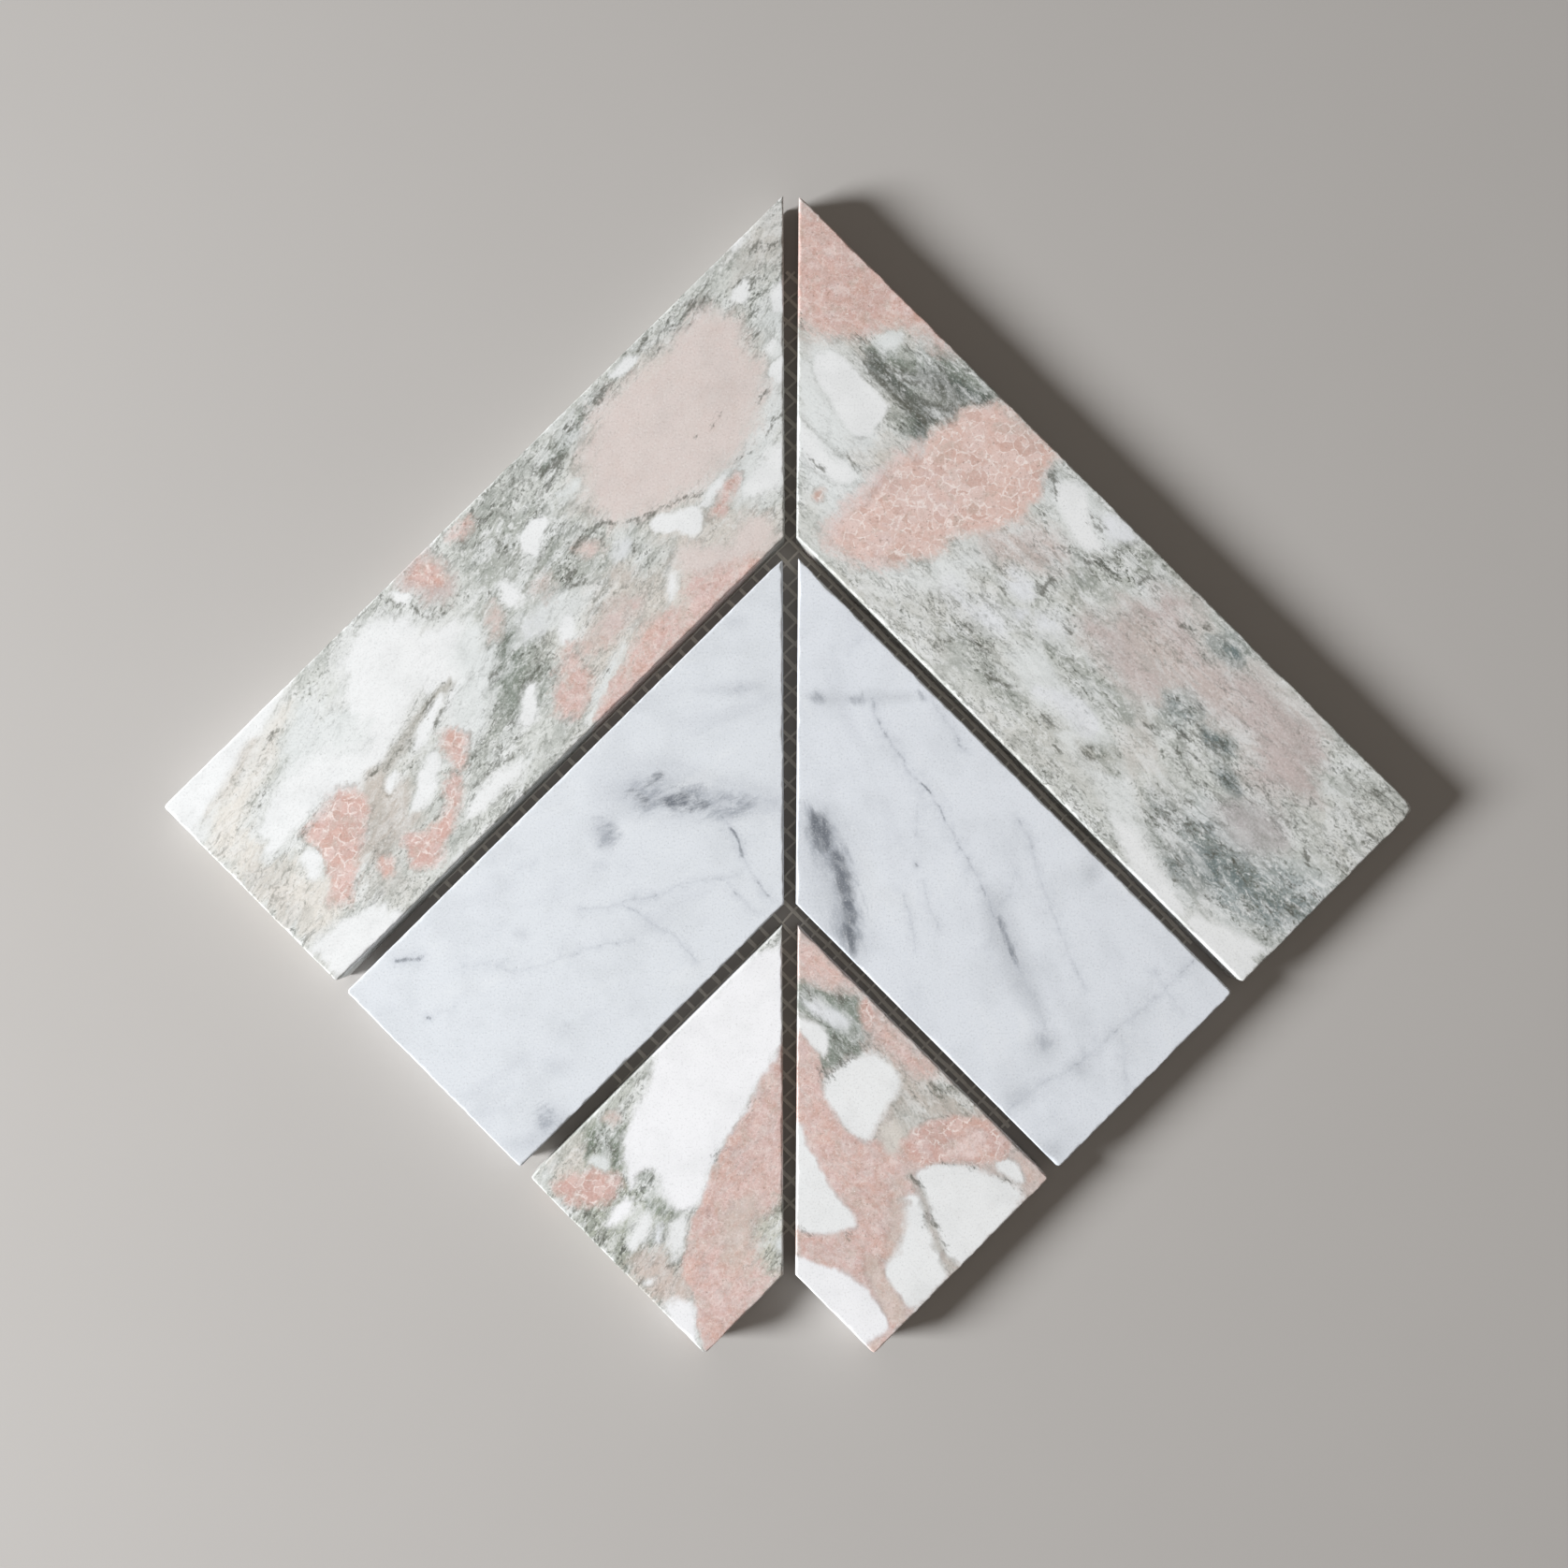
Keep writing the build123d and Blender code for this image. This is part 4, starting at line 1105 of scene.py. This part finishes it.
lower_right_clouds = (
    ("pale_rose", 3, (1, -37, 1, -52, 8, -54, 16, -52, 22, -58, 14, -48)),
    ("deep_green", 1.6, (1, -52, 7, -53, 12, -54, 17, -54, 19, -60, 19, -66, 17, -69.5, 11, -71, 8, -75,
        6, -72, 9, -66, 5, -61, 1, -59)),
    ("cool_white", 1.4, (2, -55, 6, -55, 11, -59, 15, -61, 15, -64, 9, -62, 4, -58)),
    ("grey_green", 2.5, (28, -76, 34, -73.5, 40, -75, 45, -80, 42, -83, 36, -83, 30, -81)),
    ("brown_grey", 3, (20, -68, 26, -70, 34, -76, 46, -82, 44, -86, 34, -86, 26, -88)),
    ("brown_grey", 2.5, (22, -84, 27, -81, 33, -84, 30, -90, 24, -92)),
    ("warm_grey", 2, (26, -82, 32, -80, 36, -84, 31, -88, 25, -87)),
)
lower_right_patches = (
    ("salmon", 3.0, (1, -37, 1, -50, 8, -52.5, 14, -51.5, 18, -55)),
    ("salmon", 3.4, (18, -56, 22, -60, 30, -68, 36, -74, 30, -74, 24, -68, 20, -64)),
    ("deep_salmon", 1.4, (16, -58, 19, -55, 21, -59, 20, -64, 17, -62)),
    ("salmon", 1.0, (0, -61, 5, -66, 8, -71, 8, -78, 14, -88, 20, -90, 26, -88, 30, -90, 31, -96, 36, -96,
        42, -112, 30, -130, 20, -142, 0, -122)),
    ("deep_salmon", 1.4, (26, -90, 30, -87, 34, -85, 40, -84, 46, -84, 51, -87, 54, -91, 51, -95, 44, -95.5,
        36, -95, 29, -96)),
    ("shell", 2.6, (37, -91, 44, -86, 49, -89, 46, -94, 40, -94)),
    ("beige", 2.6, (22, -86, 26, -84, 29, -87, 27, -93, 24, -94, 21, -90)),
    ("pale_rose", 1.4, (52, -93, 56, -92, 64, -98, 58, -104, 56, -98)),
    ("white", 0.9, (0, -59, 6, -61, 9, -64, 10, -67, 9, -70, 6, -68, 3, -64)),
    ("white", 1.4, (9, -74, 13, -71, 18, -69, 21, -68.5, 25, -71, 27, -75, 26.5, -79, 23, -82, 21, -86,
        19.5, -89.5, 17.5, -90, 13, -86, 9, -81.5, 8, -78)),
    ("white", 1.4, (0, -80, 3.5, -88, 5.5, -93, 9, -99.5, 13, -105, 17.5, -110, 13, -112.5, 7, -112,
        0, -111)),
    ("white", 1.4, (30, -97, 36, -95, 42, -95.5, 50, -98, 58, -102, 50, -112, 40, -121, 36.5, -116.5,
        34.3, -110.5, 32.3, -104.5, 30.3, -100)),
    ("white", 0.8, (49.5, -95, 53, -93.5, 56, -97, 57, -100, 54, -100, 51, -98)),
    ("white", 1.4, (26, -103, 28, -101.5, 30.5, -102, 32.3, -104.5, 34.3, -110.5, 36.5, -116.5, 39.5, -121,
        34, -127, 29.5, -131, 25, -126, 22, -121, 24, -117, 27, -111)),
    ("vein_beige", 2.2, (29.2, -97.2, 31, -100, 32.7, -104.4, 34.8, -110.3, 37, -116.2, 40.8, -119.6,
        38.8, -121.8, 35.8, -116.8, 33.8, -110.7, 31.9, -104.6, 30, -100.2, 27.6, -98)),
    ("rose_beige", 3.0, (25, -97, 27.5, -99, 27.5, -104, 28, -110, 26, -116, 22, -119, 23.5, -112,
        24, -104)),
    # Painted light: this white zone takes the brighter copy of the white, so that it reads as more strongly
    # lit.
    ("painted_lit_white", 1.2, (0, -116, 8, -120, 14, -121.5, 18, -124, 21, -128, 25, -134, 22, -137, 16, -140,
        8, -134, 0, -126)),
    ("shell", 2.2, (17.5, -139, 21, -137, 25, -135, 26, -136, 20, -143)),
    ("rose_beige", 1.3, (17, -117, 20.5, -117, 23, -121, 26, -127, 29.5, -132, 25, -134.5, 22, -129,
        19, -123)),
)
lower_right_streaks = (
    (0.35, 0.8, (31, -102, 33, -106, 35, -111, 37, -116, 39, -119.5)),
    (0.5, 0.35, (31.8, -102.6, 33.8, -106.5, 35.4, -110.6)),
    (0.45, 0.35, (36, -113.5, 37.4, -116.6, 39.4, -119)),
    (0.9, 0.9, (29.3, -98.3, 30.8, -99.6)),
    (0.25, 0.5, (3, -111.5, 8, -112.2, 13, -113, 17, -112)),
    (0.5, 0.5, (37, -95, 42, -95.8, 46, -96.8)),
    (0.5, 0.5, (48, -97.5, 53, -99.5, 58, -102.5)),
    (0.7, 0.7, (3, -53, 4.5, -54.5)),
    (0.7, 0.7, (12, -55, 15.5, -57.5)),
    (0.7, 0.8, (16.5, -66, 18, -67)),
    (0.7, 0.8, (8, -73, 9.5, -74)),
    (0.5, 0.5, (10, -73, 15, -70)),
    (0.7, 1.0, (35, -76.5, 38, -78.2)),
    (0.6, 0.8, (29.5, -77.5, 31, -79.5)),
    (0.6, 0.7, (36, -83.5, 38, -84)),
)
lower_right = marble_strip(
    "lower_right_strip", right, lower_row, "pale_rose", lower_right_clouds, lower_right_patches,
    lower_right_streaks, (rose_green_marble("lower_right_marble", flow=-50, tear=1.4), rose_green_back),
    seed=67, flow=-50, clast_pull=0.2)


# The studio: a plain pale floor under the tile, a soft lamp low on the left, a weaker one overhead and a dim
# plain sky for fill, and the camera straight above, where the tile is seen as it lies.
floor_colour = (184, 181, 178)
floor_stain = (178, 175, 172)
floor_radius = 1.1
lamp_from = Vector((-0.8828, -0.1878, 0.4305)).normalized()
lamp_distance = 2.0
lamp_width = 0.68
lamp_watts = 18.2
lamp_spread = radians(90)
lamp_colour = (0.97, 0.985, 1.0)
sky_strength = 0.11
fill_colour = (255, 243, 231)
backdrop_colour = (222, 220, 217)
overhead_height = 1.6
overhead_width = 1.2
overhead_watts = 2.3
overhead_colour = (1.0, 0.9, 0.8)
camera_place = Vector((-3.101, -12.597, 391.713)) * mm
camera_turn = (radians(1.336), radians(-0.241), radians(0.094))
camera_lens = 36.107
camera_sensor = 36.0

bm = bmesh.new()
bmesh.ops.create_circle(bm, cap_ends=True, segments=96, radius=floor_radius)
floor_mesh = bpy.data.meshes.new("floor")
bm.to_mesh(floor_mesh)
bm.free()
floor = bpy.data.objects.new("floor", floor_mesh)
bpy.context.scene.collection.objects.link(floor)
floor_material, floor_tree, floor_shader, floor_place = new_material("pale_floor")
floor_shade = ramp(floor_tree, noise(floor_tree, floor_place, 0.02, 4), 0.3, 0.7, 0, 0.12)
floor_tone = blend(floor_tree, floor_shade, floor_colour, floor_stain)
floor_tree.links.new(floor_tone, floor_shader.inputs["Base Color"])
floor_shader.inputs["Roughness"].default_value = 0.9
floor_mesh.materials.append(floor_material)


def soft_lamp(name, way, distance, width, watts, colour, spread):
    """A round soft lamp that shines on the middle of the tile from the given way."""
    data = bpy.data.lights.new(name, "AREA")
    data.shape = "DISK"
    data.size = width
    data.energy = watts
    data.color = colour
    data.spread = spread
    lamp = bpy.data.objects.new(name, data)
    lamp.location = way * distance
    lamp.rotation_mode = "QUATERNION"
    lamp.rotation_quaternion = way.to_track_quat("Z", "Y")
    bpy.context.scene.collection.objects.link(lamp)


soft_lamp("window_lamp", lamp_from, lamp_distance, lamp_width, lamp_watts, lamp_colour, lamp_spread)
soft_lamp("overhead_lamp", Vector((0, 0, 1)), overhead_height, overhead_width, overhead_watts,
          overhead_colour, pi)

sky = bpy.data.worlds.new("plain_sky")
sky.use_nodes = True
bpy.context.scene.world = sky
background = sky.node_tree.nodes["Background"]
seen = put(sky.node_tree, "LightPath").outputs["Is Camera Ray"]
sky_light = blend(sky.node_tree, seen, fill_colour, backdrop_colour)
sky.node_tree.links.new(sky_light, background.inputs["Color"])
sky_level = ramp(sky.node_tree, seen, 0, 1, sky_strength, 1.0)
sky.node_tree.links.new(sky_level, background.inputs["Strength"])

camera_data = bpy.data.cameras.new("camera")
camera_data.sensor_width = camera_sensor
camera_data.lens = camera_lens
camera = bpy.data.objects.new("camera", camera_data)
camera.location = camera_place
camera.rotation_mode = "ZYX"
camera.rotation_euler = camera_turn
camera_data.clip_start = 0.01
bpy.context.scene.collection.objects.link(camera)
bpy.context.scene.camera = camera
bpy.context.scene.view_settings.view_transform = "Standard"
